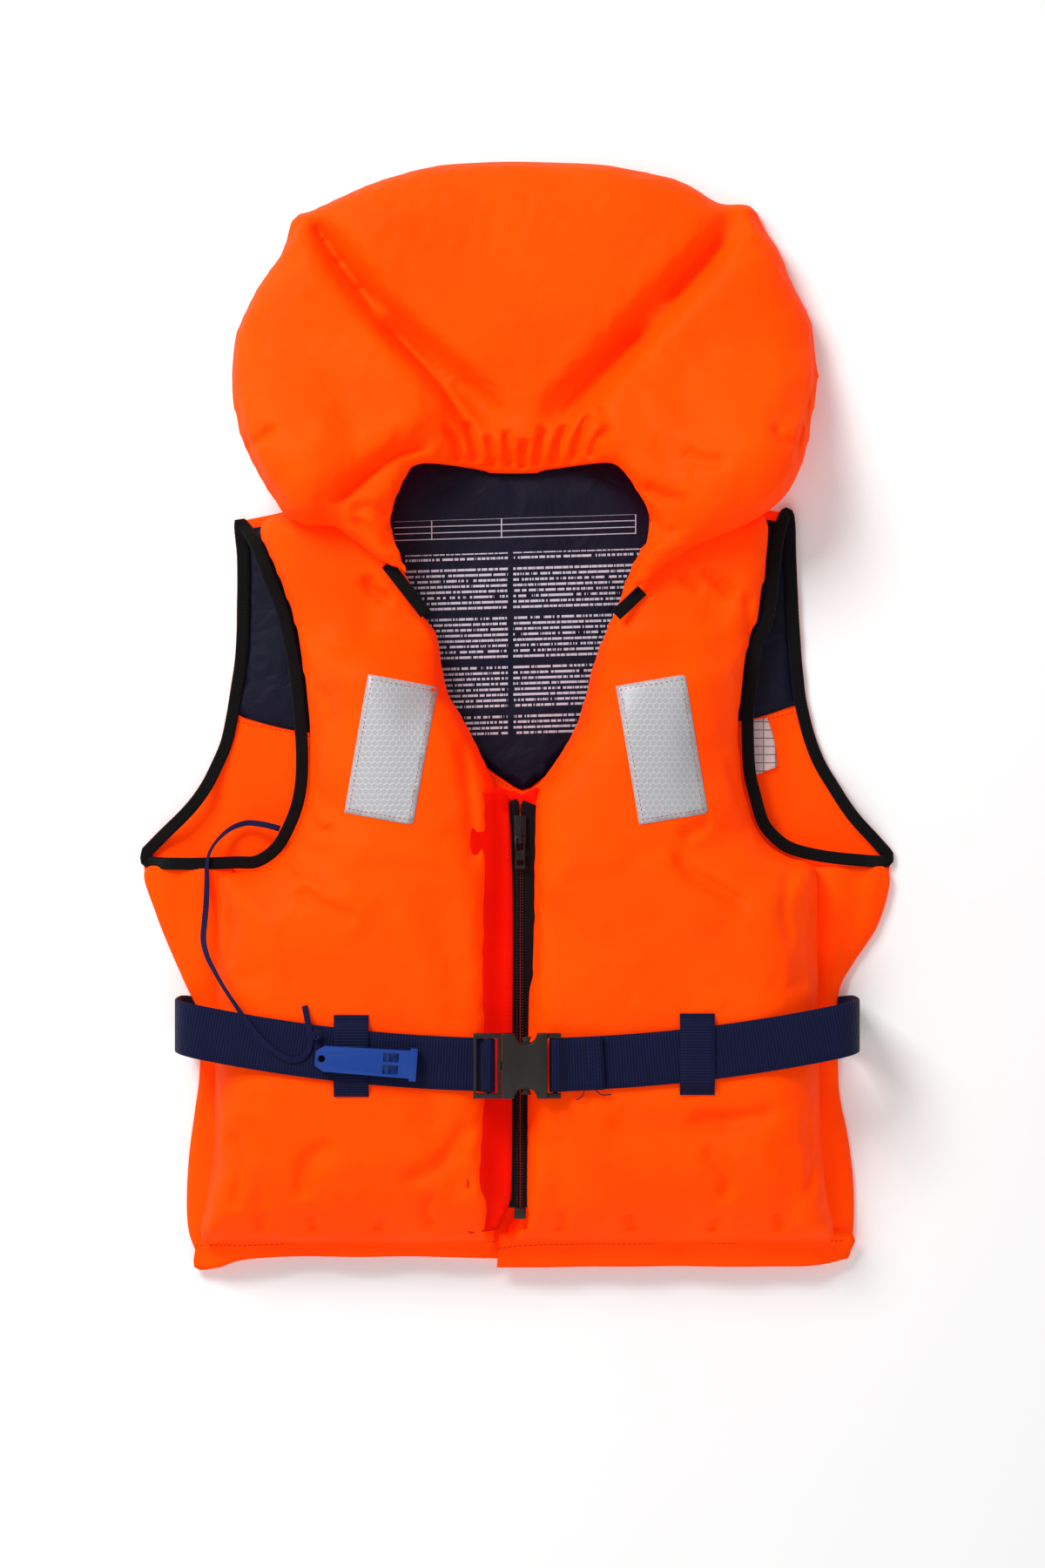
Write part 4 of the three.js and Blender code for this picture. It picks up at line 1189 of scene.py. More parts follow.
@dataclass
class Front:
    """One padded front with its hem strip."""

    side: Side
    edge: tuple[Point, ...]
    hem: tuple[Point, ...]
    creases: tuple[Crease, ...]
    late: tuple[Crease, ...]
    top: float = 72.0
    shoulder_top: float = 39.0
    low: float = 14.2
    round: float = 50.0
    zip_round: float = 30.0
    slider_gap: float = 0.7
    piece: bpy.types.Object | None = None

    def outline(self) -> Array:
        """The padded part's edge: lapel, shoulder, armhole, side and hem."""
        arm = [(x - self.side.sign * 1.2, y - 1.0) for x, y in ARM_FRONT[self.side][3:-2]]
        s = self.side.sign
        shoulder = [(76 * s, 92), (90 * s, 122), (120 * s, 142), (154 * s, 148), (186 * s, 143), (186 * s, 143)]
        side_line = [(219 * s, -116), (219 * s, -116), (221 * s, -256), (222 * s, -315), (226 * s, -348),
                     (234 * s, -386), (234 * s, -386)]
        hem_line = [(150 * s, -387)]
        loop = [*self.edge, *shoulder, *arm[::-1], *side_line, *hem_line]
        return curve(loop, 6.0, closed=True)

    def height(self, x: Array, y: Array, away: Array) -> Array:
        """The top before it is swollen: a rounded edge, pressed down by the belt, thin under the collar."""
        full = self.top + (self.shoulder_top - self.top) * smooth(22, 66, y)
        zip_line = curve(self.edge, 6.0)
        near_zip = distance_to(x, y, zip_line[zip_line[:, 1] < 80], closed=False)
        radius = self.round + (self.zip_round - self.round) * smooth(60, 20, near_zip)
        radius = radius + (20 - radius) * smooth(40, 80, y)
        t = np.clip(away / radius, 0, 1)
        shape = np.sqrt(1 - (1 - t) ** 2)
        up = np.clip((y + 389) / 78, 0, 1)
        shape = np.minimum(shape, 0.10 + 0.90 * up * (2 - up))
        belt_y = belt_line(np.abs(x))
        press = 4.0 * np.exp(-((y - belt_y) / 24) ** 4)
        tall = 4.0 + (full - self.low - 4.0 - press * smooth(0, 30, away)) * shape
        for crease in self.creases:
            tall = tall - CREASE_SHARE * crease.at(x, y) * np.clip(tall / 30, 0, 1)
        tall += 0.9 * crossing_waves(x, y, 110, 11 + self.side.sign) * smooth(4, 40, away)
        return self.low + np.maximum(tall, 3.0)

    def build(self) -> None:
        """Makes the padded cover by simulation."""
        loop = self.outline()
        word = self.side.word
        cover = between(f"padded_front_{word}", loop, 7.0, lambda x, y, d: np.full_like(x, self.low), self.height)

        def held(points: Array) -> Array:
            """Held at the seams, at the flat underside and under the belt."""
            away = distance_to(points[:, 0], points[:, 1], loop)
            belt_y = belt_line(np.abs(points[:, 0]))
            belt = np.exp(-((points[:, 1] - belt_y) / 26) ** 4)
            under = smooth(self.low + 6, self.low + 1, points[:, 2])
            below_collar = 0.8 * smooth(50, 80, points[:, 1])
            return np.maximum.reduce([smooth(8, 2, away), 0.9 * belt, 0.97 * under, below_collar])

        puff(cover, 6.0, held, 0.012)
        press(cover, self.late, 2.2)
        place = coordinates(cover.data)
        place[:, 2] = np.maximum(place[:, 2], 14.0)
        limit = np.where(place[:, 1] > 74, 42.0, 79.0)
        belt_y = belt_line(np.abs(place[:, 0]))
        under_belt = np.exp(-((place[:, 1] - belt_y) / 24) ** 8)
        limit = limit - (limit - 71.6) * (under_belt > 0.35)
        place[:, 2] = np.minimum(place[:, 2], limit)
        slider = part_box("zip_slider")
        beside = (place[:, 1] < -64) & (place[:, 1] > -372) & (place[:, 2] > 34) & (np.abs(place[:, 0]) < 24)
        if self.side is Side.RIGHT:
            place[beside, 0] = np.maximum(place[beside, 0], slider[1].x / MM + self.slider_gap)
        else:
            place[beside, 0] = np.minimum(place[beside, 0], slider[0].x / MM - self.slider_gap)
        move_to(cover.data, place)
        self.piece = cover
        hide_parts(f"front_cover_{word}", f"front_foam_{word}", f"front_lining_{word}")

    def dress(self) -> None:
        """Orange above, navy lining below."""
        SHELL.dress(self.piece)
        self.piece.data.materials.append(LINING.material())
        flags = [1 if p.normal.z < -0.75 and p.center.z < 0.017 else 0 for p in self.piece.data.polygons]
        self.piece.data.polygons.foreach_set("material_index", flags)
        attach(self.piece, "jacket")

    def build_hem(self) -> bpy.types.Object:
        """The flat hem below the padding, turned and stitched."""
        loop = curve(self.hem, 5.0, closed=True)

        def low(x: Array, y: Array, away: Array) -> Array:
            """The hem's underside, gently waved."""
            end = 9.0 * smooth(202, 236, np.abs(x))
            waves = 1.3 * np.sin(x / 11.0) + 1.5 * crossing_waves(x, y, 60, 21)
            return 16.5 - end + waves + 6.0 * smooth(-392, -376, y)

        strip = between(f"hem_strip_{self.side.word}", loop, 5.0, low, lambda x, y, d: low(x, y, d) + 2.4)
        SHELL.dress(strip)
        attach(strip, "jacket")
        return strip


@dataclass
class SidePanel:
    """Unfilled fabric between a front's side seam and the folded side."""

    side: Side
    piece: bpy.types.Object | None = None

    def build(self) -> None:
        """Makes the panel: high at the seam, folded down to the back at its edge."""
        s = self.side.sign
        seam = [(214 * s, -398), (224 * s, -380), (217 * s, -325), (212 * s, -256), (206 * s, -111),
                (206 * s, -111), (250 * s, -111)]
        loop = curve([*SIDE_EDGE[self.side], *seam], 5.0, closed=True)
        edge = curve(SIDE_EDGE[self.side], 5.0)

        def high(x: Array, y: Array, away: Array) -> Array:
            """The top: a slope with folds that run down the side."""
            out = distance_to(x, y, edge, closed=False)
            rise = np.sqrt(1 - (1 - np.clip(out / 60, 0, 1)) ** 2)
            folds = 2.4 * np.sin((np.abs(x) + 0.10 * y) / 5.5 + 1.2 * np.sin(y / 47)) * smooth(0, 18, out)
            soft = 2.0 * crossing_waves(x, y, 60, 31 + s)
            base = band_lift(y) + 4.2
            loose = smooth(2, 14, out) * smooth(-396, -370, y)
            return base + (13.5 - band_lift(y)) * rise + (folds + soft) * loose

        def low(x: Array, y: Array, away: Array) -> Array:
            """The underside, just above the back panel."""
            return band_lift(y) + 2.2

        self.piece = between(f"side_cloth_{self.side.word}", loop, 4.5, low, high)
        finer = self.piece.modifiers.new("Finer", "SUBSURF")
        finer.levels = finer.render_levels = 1
        bake(self.piece)
        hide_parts(f"side_panel_{self.side.word}")

    def dress(self) -> None:
        """Shell cloth."""
        SHELL.dress(self.piece)
        self.piece.data.shade_smooth()
        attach(self.piece, "jacket")


@dataclass
class ArmholeBinding:
    """Black grosgrain folded over the edge of one armhole."""

    side: Side
    width: float = 9.0
    thickness: float = 3.0

    def build(self) -> None:
        """Sweeps the tape round the armhole, low at the back and higher along the front."""
        loop = curve([*ARM_BACK[self.side], *ARM_FRONT[self.side][1:-1]], 4.0, closed=True)
        middle = inset(loop, self.width / 2)
        across = inset(loop, self.width) - loop
        x, y = middle[:, 0], middle[:, 1]
        back = 205 + 66 * smooth(0, -105, y)
        z = 3.9 + 14.0 * smooth(0, -22, np.abs(x) - back) + 0.5 * np.sin(np.arange(len(x)) * 0.9)
        across = np.column_stack([across, np.zeros(len(x))])
        tape = swept(f"armhole_tape_{self.side.word}", np.column_stack([middle, z]), across, self.width,
                     self.thickness, closed=True)
        BINDING.dress(tape)
        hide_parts(f"armhole_binding_{self.side.word}")
        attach(tape, "jacket")


# ---- Collar -------------------------------------------------------------------------------------


@dataclass
class Collar:
    """The padded collar: three lobes parted by two stitched valleys, gathered at the neck."""

    thickness: float = 44.0
    outer: tuple[Point, ...] = (
        (17, 404), (66, 401), (118, 390), (148, 373), (166, 374), (178, 365), (180, 355), (190, 342), (203, 311),
        (214, 291), (218, 268), (220, 242), (215, 218), (206, 180), (190, 151), (160, 132), (123, 115), (76, 79),
        (76, 79), (94, 132), (90, 150), (80, 166), (64, 179), (0, 174), (-68, 177), (-82, 162), (-90, 134),
        (-75, 98), (-75, 98), (-99, 108), (-132, 133), (-146, 132), (-163, 138), (-175, 152), (-192, 181),
        (-202, 205), (-209, 239), (-208, 268), (-203, 286), (-189, 314), (-173, 336), (-169, 351), (-163, 364),
        (-144, 371), (-106, 388), (-63, 400), (-21, 404))
    valleys: tuple[Crease, ...] = (
        Crease(((-158, 371), (-128, 327), (-100, 292), (-60, 254), (-28, 226), (-6, 200)), 27, 10),
        Crease(((-104, 294), (-66, 250), (-40, 218), (-26, 196)), 9, 8),
        Crease(((172, 372), (140, 333), (106, 296), (68, 256), (38, 226), (14, 198)), 27, 10),
        Crease(((96, 284), (70, 252), (52, 226), (34, 200)), 7, 9),
    )
    folds: tuple[Crease, ...] = (
        Crease(((-54, 200), (-74, 190), (-98, 172), (-136, 146)), 11, 9),
        Crease(((-60, 214), (-92, 196), (-118, 178)), -4, 10),
        Crease(((-104, 130), (-120, 140), (-146, 150)), 5, 7),
        Crease(((88, 152), (104, 150), (112, 128)), 7, 7),
        Crease(((74, 218), (92, 206), (106, 190), (120, 172)), 5, 12),
        Crease(((150, 268), (124, 250), (118, 222), (140, 196), (158, 180)), 4, 12),
        Crease(((70, 188), (92, 186), (128, 170)), 6, 8),
        Crease(((-186, 300), (-176, 318), (-158, 336)), 5, 7),
        Crease(((178, 206), (196, 214), (210, 240)), 5, 8),
        Crease(((-178, 190), (-160, 200), (-140, 200)), 4, 9),
        Crease(((184, 344), (170, 336), (160, 326)), 5, 7),
        Crease(((0, 180), (2, 196)), 7, 5),
        Crease(((-14, 180), (-18, 198)), 6, 4),
        Crease(((16, 180), (24, 198)), 6, 4),
        Crease(((-30, 181), (-40, 200)), 6, 5),
        Crease(((34, 182), (48, 202)), 5, 5),
        Crease(((-46, 182), (-56, 194)), 4, 4),
    )
    late: tuple[Crease, ...] = (
        Crease(((-150, 360), (-128, 327), (-100, 291)), 4, 3.5),
        Crease(((152, 350), (140, 333), (106, 296)), 4, 3.5),
        Crease(((-96, 286), (-62, 246), (-34, 206)), 3.6, 4),
        Crease(((98, 288), (66, 254), (30, 212)), 3.0, 4),
        Crease(((-52, 206), (-44, 194), (-43, 180)), 5, 3),
        Crease(((-37, 212), (-32, 196), (-30, 180)), 5, 3),
        Crease(((-22, 202), (-19, 190), (-18, 178)), 5, 2.8),
        Crease(((-8, 206), (-7, 192), (-6, 177)), 5, 2.8),
        Crease(((6, 198), (4, 188), (4, 177)), 5, 2.8),
        Crease(((20, 208), (16, 194), (14, 178)), 5, 2.8),
        Crease(((36, 210), (30, 196), (27, 179)), 5, 3),
        Crease(((52, 216), (44, 198), (40, 180)), 5, 3),
        Crease(((66, 206), (56, 194), (52, 181)), 4, 3),
        Crease(((-60, 192), (-76, 189), (-97, 179), (-134, 146)), 5, 4),
        Crease(((-90, 140), (-104, 146), (-120, 144)), 3, 4),
        Crease(((-84, 118), (-100, 124), (-118, 140)), 2.6, 4),
        Crease(((84, 148), (96, 140), (104, 126)), 4, 4),
        Crease(((90, 162), (104, 154), (122, 150)), 3.4, 4),
        Crease(((84, 120), (98, 124), (118, 132)), 2.6, 4),
        Crease(((60, 220), (56, 208), (66, 196)), 3, 4),
        Crease(((118, 186), (130, 178), (150, 176)), 2.6, 5),
        Crease(((-204, 284), (-206, 246), (-194, 194), (-174, 157), (-152, 138)), 3, 2.6),
        Crease(((-190, 318), (-198, 300), (-204, 280)), 2.6, 2.6),
        Crease(((214, 296), (216, 248), (201, 190), (196, 166)), 3, 2.6),
        Crease(((-196, 190), (-184, 192), (-172, 204)), 2.6, 4),
        Crease(((200, 190), (188, 194), (182, 204)), 2.6, 4),
        Crease(((-158, 364), (-164, 348), (-172, 338)), 2.6, 4),
        Crease(((172, 366), (176, 354), (188, 344)), 2.6, 4),
    )
    piece: bpy.types.Object | None = None

    def low(self, x: Array, y: Array) -> Array:
        """The underside: on the floor at the back, over the shoulders in front."""
        seam = 9.0 * smooth(216, 196, y)
        return 0.4 + np.maximum(seam, 44.0 * smooth(275, 175, y) * smooth(20, 78, np.abs(x)))

    def height(self, x: Array, y: Array, away: Array) -> Array:
        """The top before it is swollen."""
        t = np.clip(away / 40, 0, 1)
        shape = np.sqrt(1 - (1 - t) ** 2)
        neck = 0.62 + 0.38 * smooth(186, 290, y + 0.15 * np.abs(x))
        neck = np.where(np.abs(x) > 60, np.maximum(neck, smooth(60, 150, np.abs(x)) * 0.98), neck)
        tip = 0.30 + 0.70 * smooth(70, 165, y + 0.35 * (np.abs(x) - 76))
        tall = 5.0 + (self.thickness - 5.0) * shape * neck * tip
        for crease in (*self.valleys, *self.folds):
            tall = tall - crease.at(x, y) * np.clip(tall / 34, 0.15, 1)
        tall += 1.4 * crossing_waves(x, y, 110, 44) * smooth(4, 50, away)
        return self.low(x, y) + np.maximum(tall, 3.0)

    def build(self) -> None:
        """Makes the collar by simulation, held along its valleys and edges."""
        loop = curve(self.outer, 6.0, closed=True)
        self.piece = between("padded_collar", loop, 7.0, lambda x, y, d: self.low(x, y), self.height)

        def held(points: Array) -> Array:
            """Held at the outer seam, at the neck, in the valleys and underneath."""
            x, y = points[:, 0], points[:, 1]
            away = distance_to(x, y, loop)
            valley = np.maximum.reduce([np.abs(v.at(x, y)) / abs(v.depth) for v in self.valleys])
            under = smooth(8, 2, points[:, 2] - self.low(x, y))
            return np.maximum.reduce([smooth(7, 2, away), 0.95 * valley, 0.96 * under])

        puff(self.piece, 7.0, held, 0.014, voxel=5.0)
        press(self.piece, self.late, 2.0)
        place = coordinates(self.piece.data)
        place[:, 2] = np.clip(place[:, 2], 0.2, 93.0)
        move_to(self.piece.data, place)
        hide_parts("collar_cover", "collar_underside", "collar_foam_centre", "collar_foam_left",
                    "collar_foam_right")

    def dress(self) -> None:
        """Shell cloth, stitches in the valleys and black bindings at the two ends."""
        SHELL.dress(self.piece)
        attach(self.piece, "jacket")
        ground = Surfaces(self.piece)
        lines = [((-152, 362), (-128, 327), (-101, 292)), ((152, 348), (140, 333), (107, 297))]
        laid = [ground.lay(curve(line, 4.0), -0.1, 40.0) for line in lines]
        row("valley_stitches", laid, RED_THREAD, "jacket", 3.6, 2.7, 0.6, 0.5)
        for side, ends in ((Side.LEFT, ((-94, 107), (-66, 71))), (Side.RIGHT, ((90, 88), (71, 70)))):
            path = curve(ends, 3.0)
            z = np.full(len(path), 41.2)
            along = np.array(ends[1]) - np.array(ends[0])
            across = np.tile([-along[1], along[0], 0.0], (len(path), 1))
            tape = swept(f"collar_tape_{side.word}", np.column_stack([path, z]), across, 9.0, 2.0)
            BINDING.dress(tape)
            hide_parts(f"collar_binding_{side.word}")
            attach(tape, "jacket")


# ---- Zip ----------------------------------------------------------------------------------------


@dataclass
class Zip:
    """Tapes, teeth, box, slider, puller and the placket beside them."""

    x: float = 2.0
    top: float = -67.0
    end: float = -356.0
    z: float = 44.5
    placket: tuple[Point, ...] = (
        (-36, -60), (-36, -60), (-10, -58), (-6, -70), (-3.4, -130), (-3.6, -240), (-4, -330), (-6, -354),
        (-14, -372), (-14, -372), (-36, -376), (-36, -376))

    def build(self) -> None:
        """Makes the woven tapes and their teeth."""
        for word, sign, edge in (("left", -1, -15.0), ("right", 1, 13.0)):
            inner = self.x + sign * 0.15
            middle, width = (inner + edge) / 2, abs(edge - inner)
            path = [(middle + (sign * 1.5 if y > -70 else 0), y, self.z)
                    for y in (self.top + 2, -80, -200, self.end)]
            line = curve(path, 4.0)
            tape = swept(f"zip_tape_cloth_{word}", line, np.tile([1.0, 0, 0], (len(line), 1)), width, 1.0)
            ZIP_TAPE.dress(tape)
            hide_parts(f"zip_tape_{word}")
            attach(tape, "jacket")
            side = self.x + sign * 1.9
            teeth = row(f"zip_row_{word}", [np.array([(side, -77.0, self.z), (side, self.end, self.z)])], TEETH,
                        "jacket", 2.0, 1.55, 3.6, 3.0, turn=sign * 24)
            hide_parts(f"zip_teeth_{word}")

    def build_placket(self) -> None:
        """The loose strip of shell cloth on the -X side of the teeth, with a fold along it."""
        loop = curve(self.placket, 5.0, closed=True)

        def low(x: Array, y: Array, away: Array) -> Array:
            """Slopes from the front's edge down to the teeth."""
            slope = 46.2 + 15.0 * smooth(-5, -38, x) - 22.0 * smooth(-336, -374, y) * smooth(-8, -30, x)
            slope = slope - 8.0 * np.exp(-((y + 246) / 44) ** 4) * smooth(-16, -34, x)
            fold = 2.2 * np.exp(-((x + 22 + 3 * np.sin(y / 60)) / 4.5) ** 2)
            return slope + fold + 0.6 * np.sin(y / 23)

        strip = between("placket_cloth", loop, 4.0, low, lambda x, y, d: low(x, y, d) + 1.2)
        # Its deeper red finish is painted shade for the cleft beside the teeth.
        PAINTED_SHADE_FACING.dress(strip)
        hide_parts("zip_facing")
        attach(strip, "jacket")
        # A small deep red tab behind the top of the zip: a sheet of painted shade standing in for the shaded back
        # cloth seen between the fronts there.
        corner = curve([(-12, -73), (-12, -73), (14, -73), (14, -73), (16, -53), (16, -53), (3, -59), (3, -59),
                        (-16, -53), (-16, -53)],
                       4.0, closed=True)
        shade_tab = between("painted_shade_zip_tab", corner, 4.0, lambda x, y, d: np.full_like(x, 41.6),
                       lambda x, y, d: np.full_like(x, 42.6))
        PAINTED_SHADE_FACING.dress(shade_tab)
        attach(shade_tab, "jacket")
        ground = Surfaces(strip)
        edge = ground.lay(curve([(-7.5, -74), (-6, -130), (-6, -240), (-7, -330), (-10, -350)], 5.0), 0.2, 46.0)
        row("placket_stitches", [edge], ORANGE_THREAD, "jacket", 3.4, 2.6, 0.6, 0.5)

    def build_metal(self) -> None:
        """The slider, its puller and the bottom box."""
        for name, source, finish, body, bevel in (
                ("slider_body", "zip_slider", ENAMEL, "slider", 0.6),
                ("slider_pull", "zip_puller", ENAMEL, "puller", 0.35),
                ("zip_end_box", "zip_box", ACETAL, "jacket", 0.8)):
            piece = moulded(name, source, bevel)
            finish.dress(piece)
            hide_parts(source)
            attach(piece, body)


# ---- Belt ---------------------------------------------------------------------------------------


@dataclass
class Belt:
    """Navy webbing round the jacket, its sewn end, two loops and their stitches."""

    width: float = 38.0
    thickness: float = 1.8
    low: float = 0.9
    top: float = 73.3
    turn: float = 205.0
    reach: float = 40.0
    bar_low: float = 79.0
    bar_high: float = 81.8

    def middle(self, x: Array, z: Array) -> Array:
        """How far up the jacket the belt's middle lies."""
        out = np.where(z > self.top / 2, np.abs(x), np.maximum(np.abs(x), self.turn))
        return belt_line(out)

    def strap(self, name: str, route: Sequence[Point]) -> bpy.types.Object:
        """A run of the belt through X and Z points, its middle on the belt's line."""
        flat = curve(route, 2.5)
        path = np.column_stack([flat[:, 0], self.middle(flat[:, 0], flat[:, 1]), flat[:, 1]])
        across = np.tile([0.0, 1.0, 0.0], (len(path), 1))
        piece = swept(name, path, across, self.width, self.thickness, columns=8)
        BELT.dress(piece)
        return piece

    def corner(self, sign: int) -> list[Point]:
        """The turn round one side, from the top down."""
        centre, half = (self.top + self.low) / 2, (self.top - self.low) / 2
        route = []
        for i in range(13):
            angle = math.pi * i / 12
            out = math.sqrt(abs(math.sin(angle)))
            up = math.copysign(math.sqrt(abs(math.cos(angle))), math.cos(angle)) if i != 6 else 0.0
            route.append((sign * (self.turn + self.reach * out), centre + half * up))
        return route

    def build(self) -> None:
        """Makes the belt and its sewn end."""
        wrap = self.thickness
        right = -18.5
        start = [(-21.5, self.bar_low - wrap), (right - 1, self.bar_low - wrap), (right + wrap, self.bar_low + 0.4),
                 (right + wrap, self.bar_high - 0.4), (right - 1, self.bar_high + wrap),
                 (-22, self.bar_high + wrap - 0.2), (-24.9, self.bar_low + 0.6), (-31.5, self.top + 0.5),
                 (-39.5, self.top), (-70, self.top - 0.2)]
        under = [(x, self.low) for x in (-150, -75, 0, 75, 150)]
        finish = [(x, self.top) for x in (170, 140, 100, 60, 34)]
        front = [(x, self.top) for x in (-100, -140, -170)]
        belt = self.strap("belt_webbing",
                          [*start, *front, *self.corner(-1), *under, *self.corner(1)[::-1], *finish])
        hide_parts("belt")
        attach(belt, "jacket")
        low = 75.4
        sewn = [(61, low), (45, low), (32, low), (26.5, self.bar_low - wrap), (25.5 - wrap, self.bar_low + 0.4),
                (25.5 - wrap, self.bar_high - 0.4), (26.5, self.bar_high + wrap), (29.6, self.bar_high + 0.9),
                (33, self.bar_low + 1), (39, low + 2.4), (61, low + 2.1)]
        end = self.strap("belt_sewn_webbing", sewn)
        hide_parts("belt_sewn_end")
        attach(end, "socket")
        stitches = []
        for x in (47.0, 50.5, 57.5):
            y = float(self.middle(np.array([x]), np.array([self.top]))[0])
            stitches.append(np.array([(x, y - 17, 78.6), (x + 0.6, y, 78.7), (x, y + 17, 78.6)]))
        row("belt_stitches", stitches, NAVY_THREAD, "socket", 3.0, 2.4, 0.9, 0.7)
        tails = [((48, -268, 78.4), (46, -273, 76.5), (42, -276, 73.4)),
                 ((54, -267, 78.4), (60, -272, 75.6), (67, -272, 73.2))]
        for i, points in enumerate(tails):
            line = curve(points, 0.8)
            across = np.tile([0.3, 1.0, 0.0], (len(line), 1))
            tail = swept(f"thread_tail_{i + 1}", line, across, 0.8, 0.6, columns=2)
            NAVY_THREAD.dress(tail)
            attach(tail, "socket")

    def build_loops(self, ground: Surfaces) -> None:
        """The loops that hold the belt, their ends sewn down."""
        for side, x in ((Side.LEFT, -118.0), (Side.RIGHT, 128.0)):
            y = float(self.middle(np.array([x]), np.array([self.top]))[0])
            ends = [max(ground.height(x, y + s * 28, 71.0) + 1.0, 70.5) for s in (-1, 1)]
            route = [(y - 29, ends[0]), (y - 26, ends[0] + 0.1), (y - 22.5, 74.2), (y - 19, 75.4), (y, 75.6),
                     (y + 19, 75.4), (y + 22.5, 74.2), (y + 26, ends[1] + 0.1), (y + 29, ends[1])]
            flat = curve(route, 1.5)
            path = np.column_stack([np.full(len(flat), x), flat])
            loop = swept(f"belt_loop_webbing_{side.word}", path, np.tile([1.0, 0, 0], (len(path), 1)), 25.0, 1.8,
                         columns=6)
            BELT.dress(loop)
            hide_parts(f"belt_loop_{side.word}")
            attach(loop, "jacket")
            lines = [np.array([(x - 11, y + s * 27, e + 1.1), (x + 11, y + s * 27, e + 1.1)])
                     for s, e in zip((-1, 1), ends)]
            row(f"loop_stitches_{side.word}", lines, NAVY_THREAD, "jacket", 2.6, 2.1, 0.8, 0.7)


@dataclass
class Buckle:
    """Side-release buckle: socket, plug, and two prongs with thumb pads."""

    pad_radius: float = 7.3
    pad_x: float = 6.0
    centre_y: float = BELT_MIDDLE

    def build(self) -> None:
        """Makes the moulded pieces from the CAD solids and adds a thumb pad to each prong."""
        for name, source, body in (("buckle_socket_body", "buckle_socket", "socket"),
                                   ("buckle_plug_body", "buckle_plug", "jacket")):
            piece = moulded(name, source, 0.7)
            ACETAL.dress(piece)
            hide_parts(source)
            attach(piece, body)
        for word, sign in (("upper", 1), ("lower", -1)):
            piece = moulded(f"prong_{word}_body", f"plug_prong_{word}", 0.5)
            low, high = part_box(f"plug_prong_{word}")
            base, top = low.z / MM + 0.05, high.z / MM - 0.05
            outer = self.centre_y + sign * 20.4
            ring = []
            for i in range(25):
                angle = math.pi * i / 24
                out = self.centre_y + sign * (23.0 - self.pad_radius * math.sin(angle))
                px = self.pad_x - self.pad_radius * math.cos(angle) * 0.55
                ring.append((px, sign * min(sign * out, sign * outer)))
            levels = [(base, 0.7), (base + 0.5, 0.0), (top - 0.9, 0.0), (top - 0.3, 0.3), (top, 0.9)]
            middle = np.array([self.pad_x, self.centre_y + sign * 18.4])
            points, faces = [], []
            for z, drawn in levels:
                for p in ring:
                    away = np.array(p) - middle
                    size = np.linalg.norm(away)
                    spot = middle + away * max(0.1, (size - drawn) / size)
                    points.append((spot[0], spot[1], z))
            count = len(ring)
            for level in range(len(levels) - 1):
                for i in range(count):
                    j = (i + 1) % count
                    first = level * count
                    faces.append([first + i, first + j, first + count + j, first + count + i])
            faces += [list(range(count))[::-1], [(len(levels) - 1) * count + i for i in range(count)]]
            pad = tidied(new_piece(f"prong_{word}_pad", np.array(points), faces))
            pad.data.set_sharp_from_angle(angle=math.radians(50))
            for item in (piece, pad):
                ACETAL.dress(item)
                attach(item, f"prong_{word}")
            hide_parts(f"plug_prong_{word}")


# ---- Small pieces -------------------------------------------------------------------------------


@dataclass
class Patch:
    """A retroreflective patch sewn on a front."""

    side: Side
    centre: Point
    turn: float
    size: Point = (50.0, 100.0)

    def build(self, ground: Surfaces) -> None:
        """Lays the patch on the front and stitches it round its edge."""
        w, h = self.size[0] / 2, self.size[1] / 2
        angle = math.radians(self.turn)
        spin = np.array([[math.cos(angle), math.sin(angle)], [-math.sin(angle), math.cos(angle)]])
        corners = np.array([(-w, -h), (-w, -h), (w, -h), (w, -h), (w, h), (w, h), (-w, h), (-w, h)])
        loop = curve(corners @ spin + np.array(self.centre), 4.0, closed=True)

        def low(x: Array, y: Array, away: Array) -> Array:
            """Just above the front."""
            return np.array([ground.height(a, b, 70.0) + 0.25 for a, b in zip(x, y)])

        name = f"reflective_cloth_{self.side.word}"
        patch = between(name, loop, 4.0, low, lambda x, y, d: low(x, y, d) + 0.6)
        SILVER.dress(patch)
        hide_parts(f"reflective_patch_{self.side.word}")
        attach(patch, "jacket")
        top = Surfaces(patch)
        seam = np.array([(-w, -h), (w, -h), (w, h), (-w, h), (-w, -h)]) * (1 - 3.2 / np.array([w, h]))
        seam = seam @ spin + np.array(self.centre)
        lines = [top.lay(np.linspace(a, b, 20), 0.1, 72.0) for a, b in zip(seam, seam[1:])]
        row(f"patch_stitches_{self.side.word}", lines, RED_THREAD, "jacket", 3.4, 2.2, 0.55, 0.4)


@dataclass
class Label:
    """The satin label on the back, inside the wearer's left armhole."""

    corners: tuple[Point, ...] = ((168, -5), (168, -5), (183, -3), (183, -3), (188, -20), (190, -39), (190, -39),
                                  (171, -46), (171, -46))

    def build(self, ground: Surfaces) -> None:
        """Lays the label with a slight curl."""
        loop = curve(self.corners, 3.0, closed=True)

        def low(x: Array, y: Array, away: Array) -> Array:
            """Above the back panel, curling up at its foot."""
            floor = np.array([ground.height(a, b, 3.0) for a, b in zip(x, y)])
            return floor + 0.8 + 2.5 * smooth(-25, -46, y)

        label = between("label_cloth", loop, 3.0, low, lambda x, y, d: low(x, y, d) + 0.4)
        LABEL.dress(label)
        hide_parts("care_label")
        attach(label, "jacket")


@dataclass
class Whistle:
    """The flat blue whistle."""

    def build(self) -> bpy.types.Object:
        """Makes it from its CAD solid with moulded edges."""
        piece = moulded("whistle_body", "whistle", 0.6)
        BLUE.dress(piece)
        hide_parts("whistle")
        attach(piece, "jacket")
        return piece


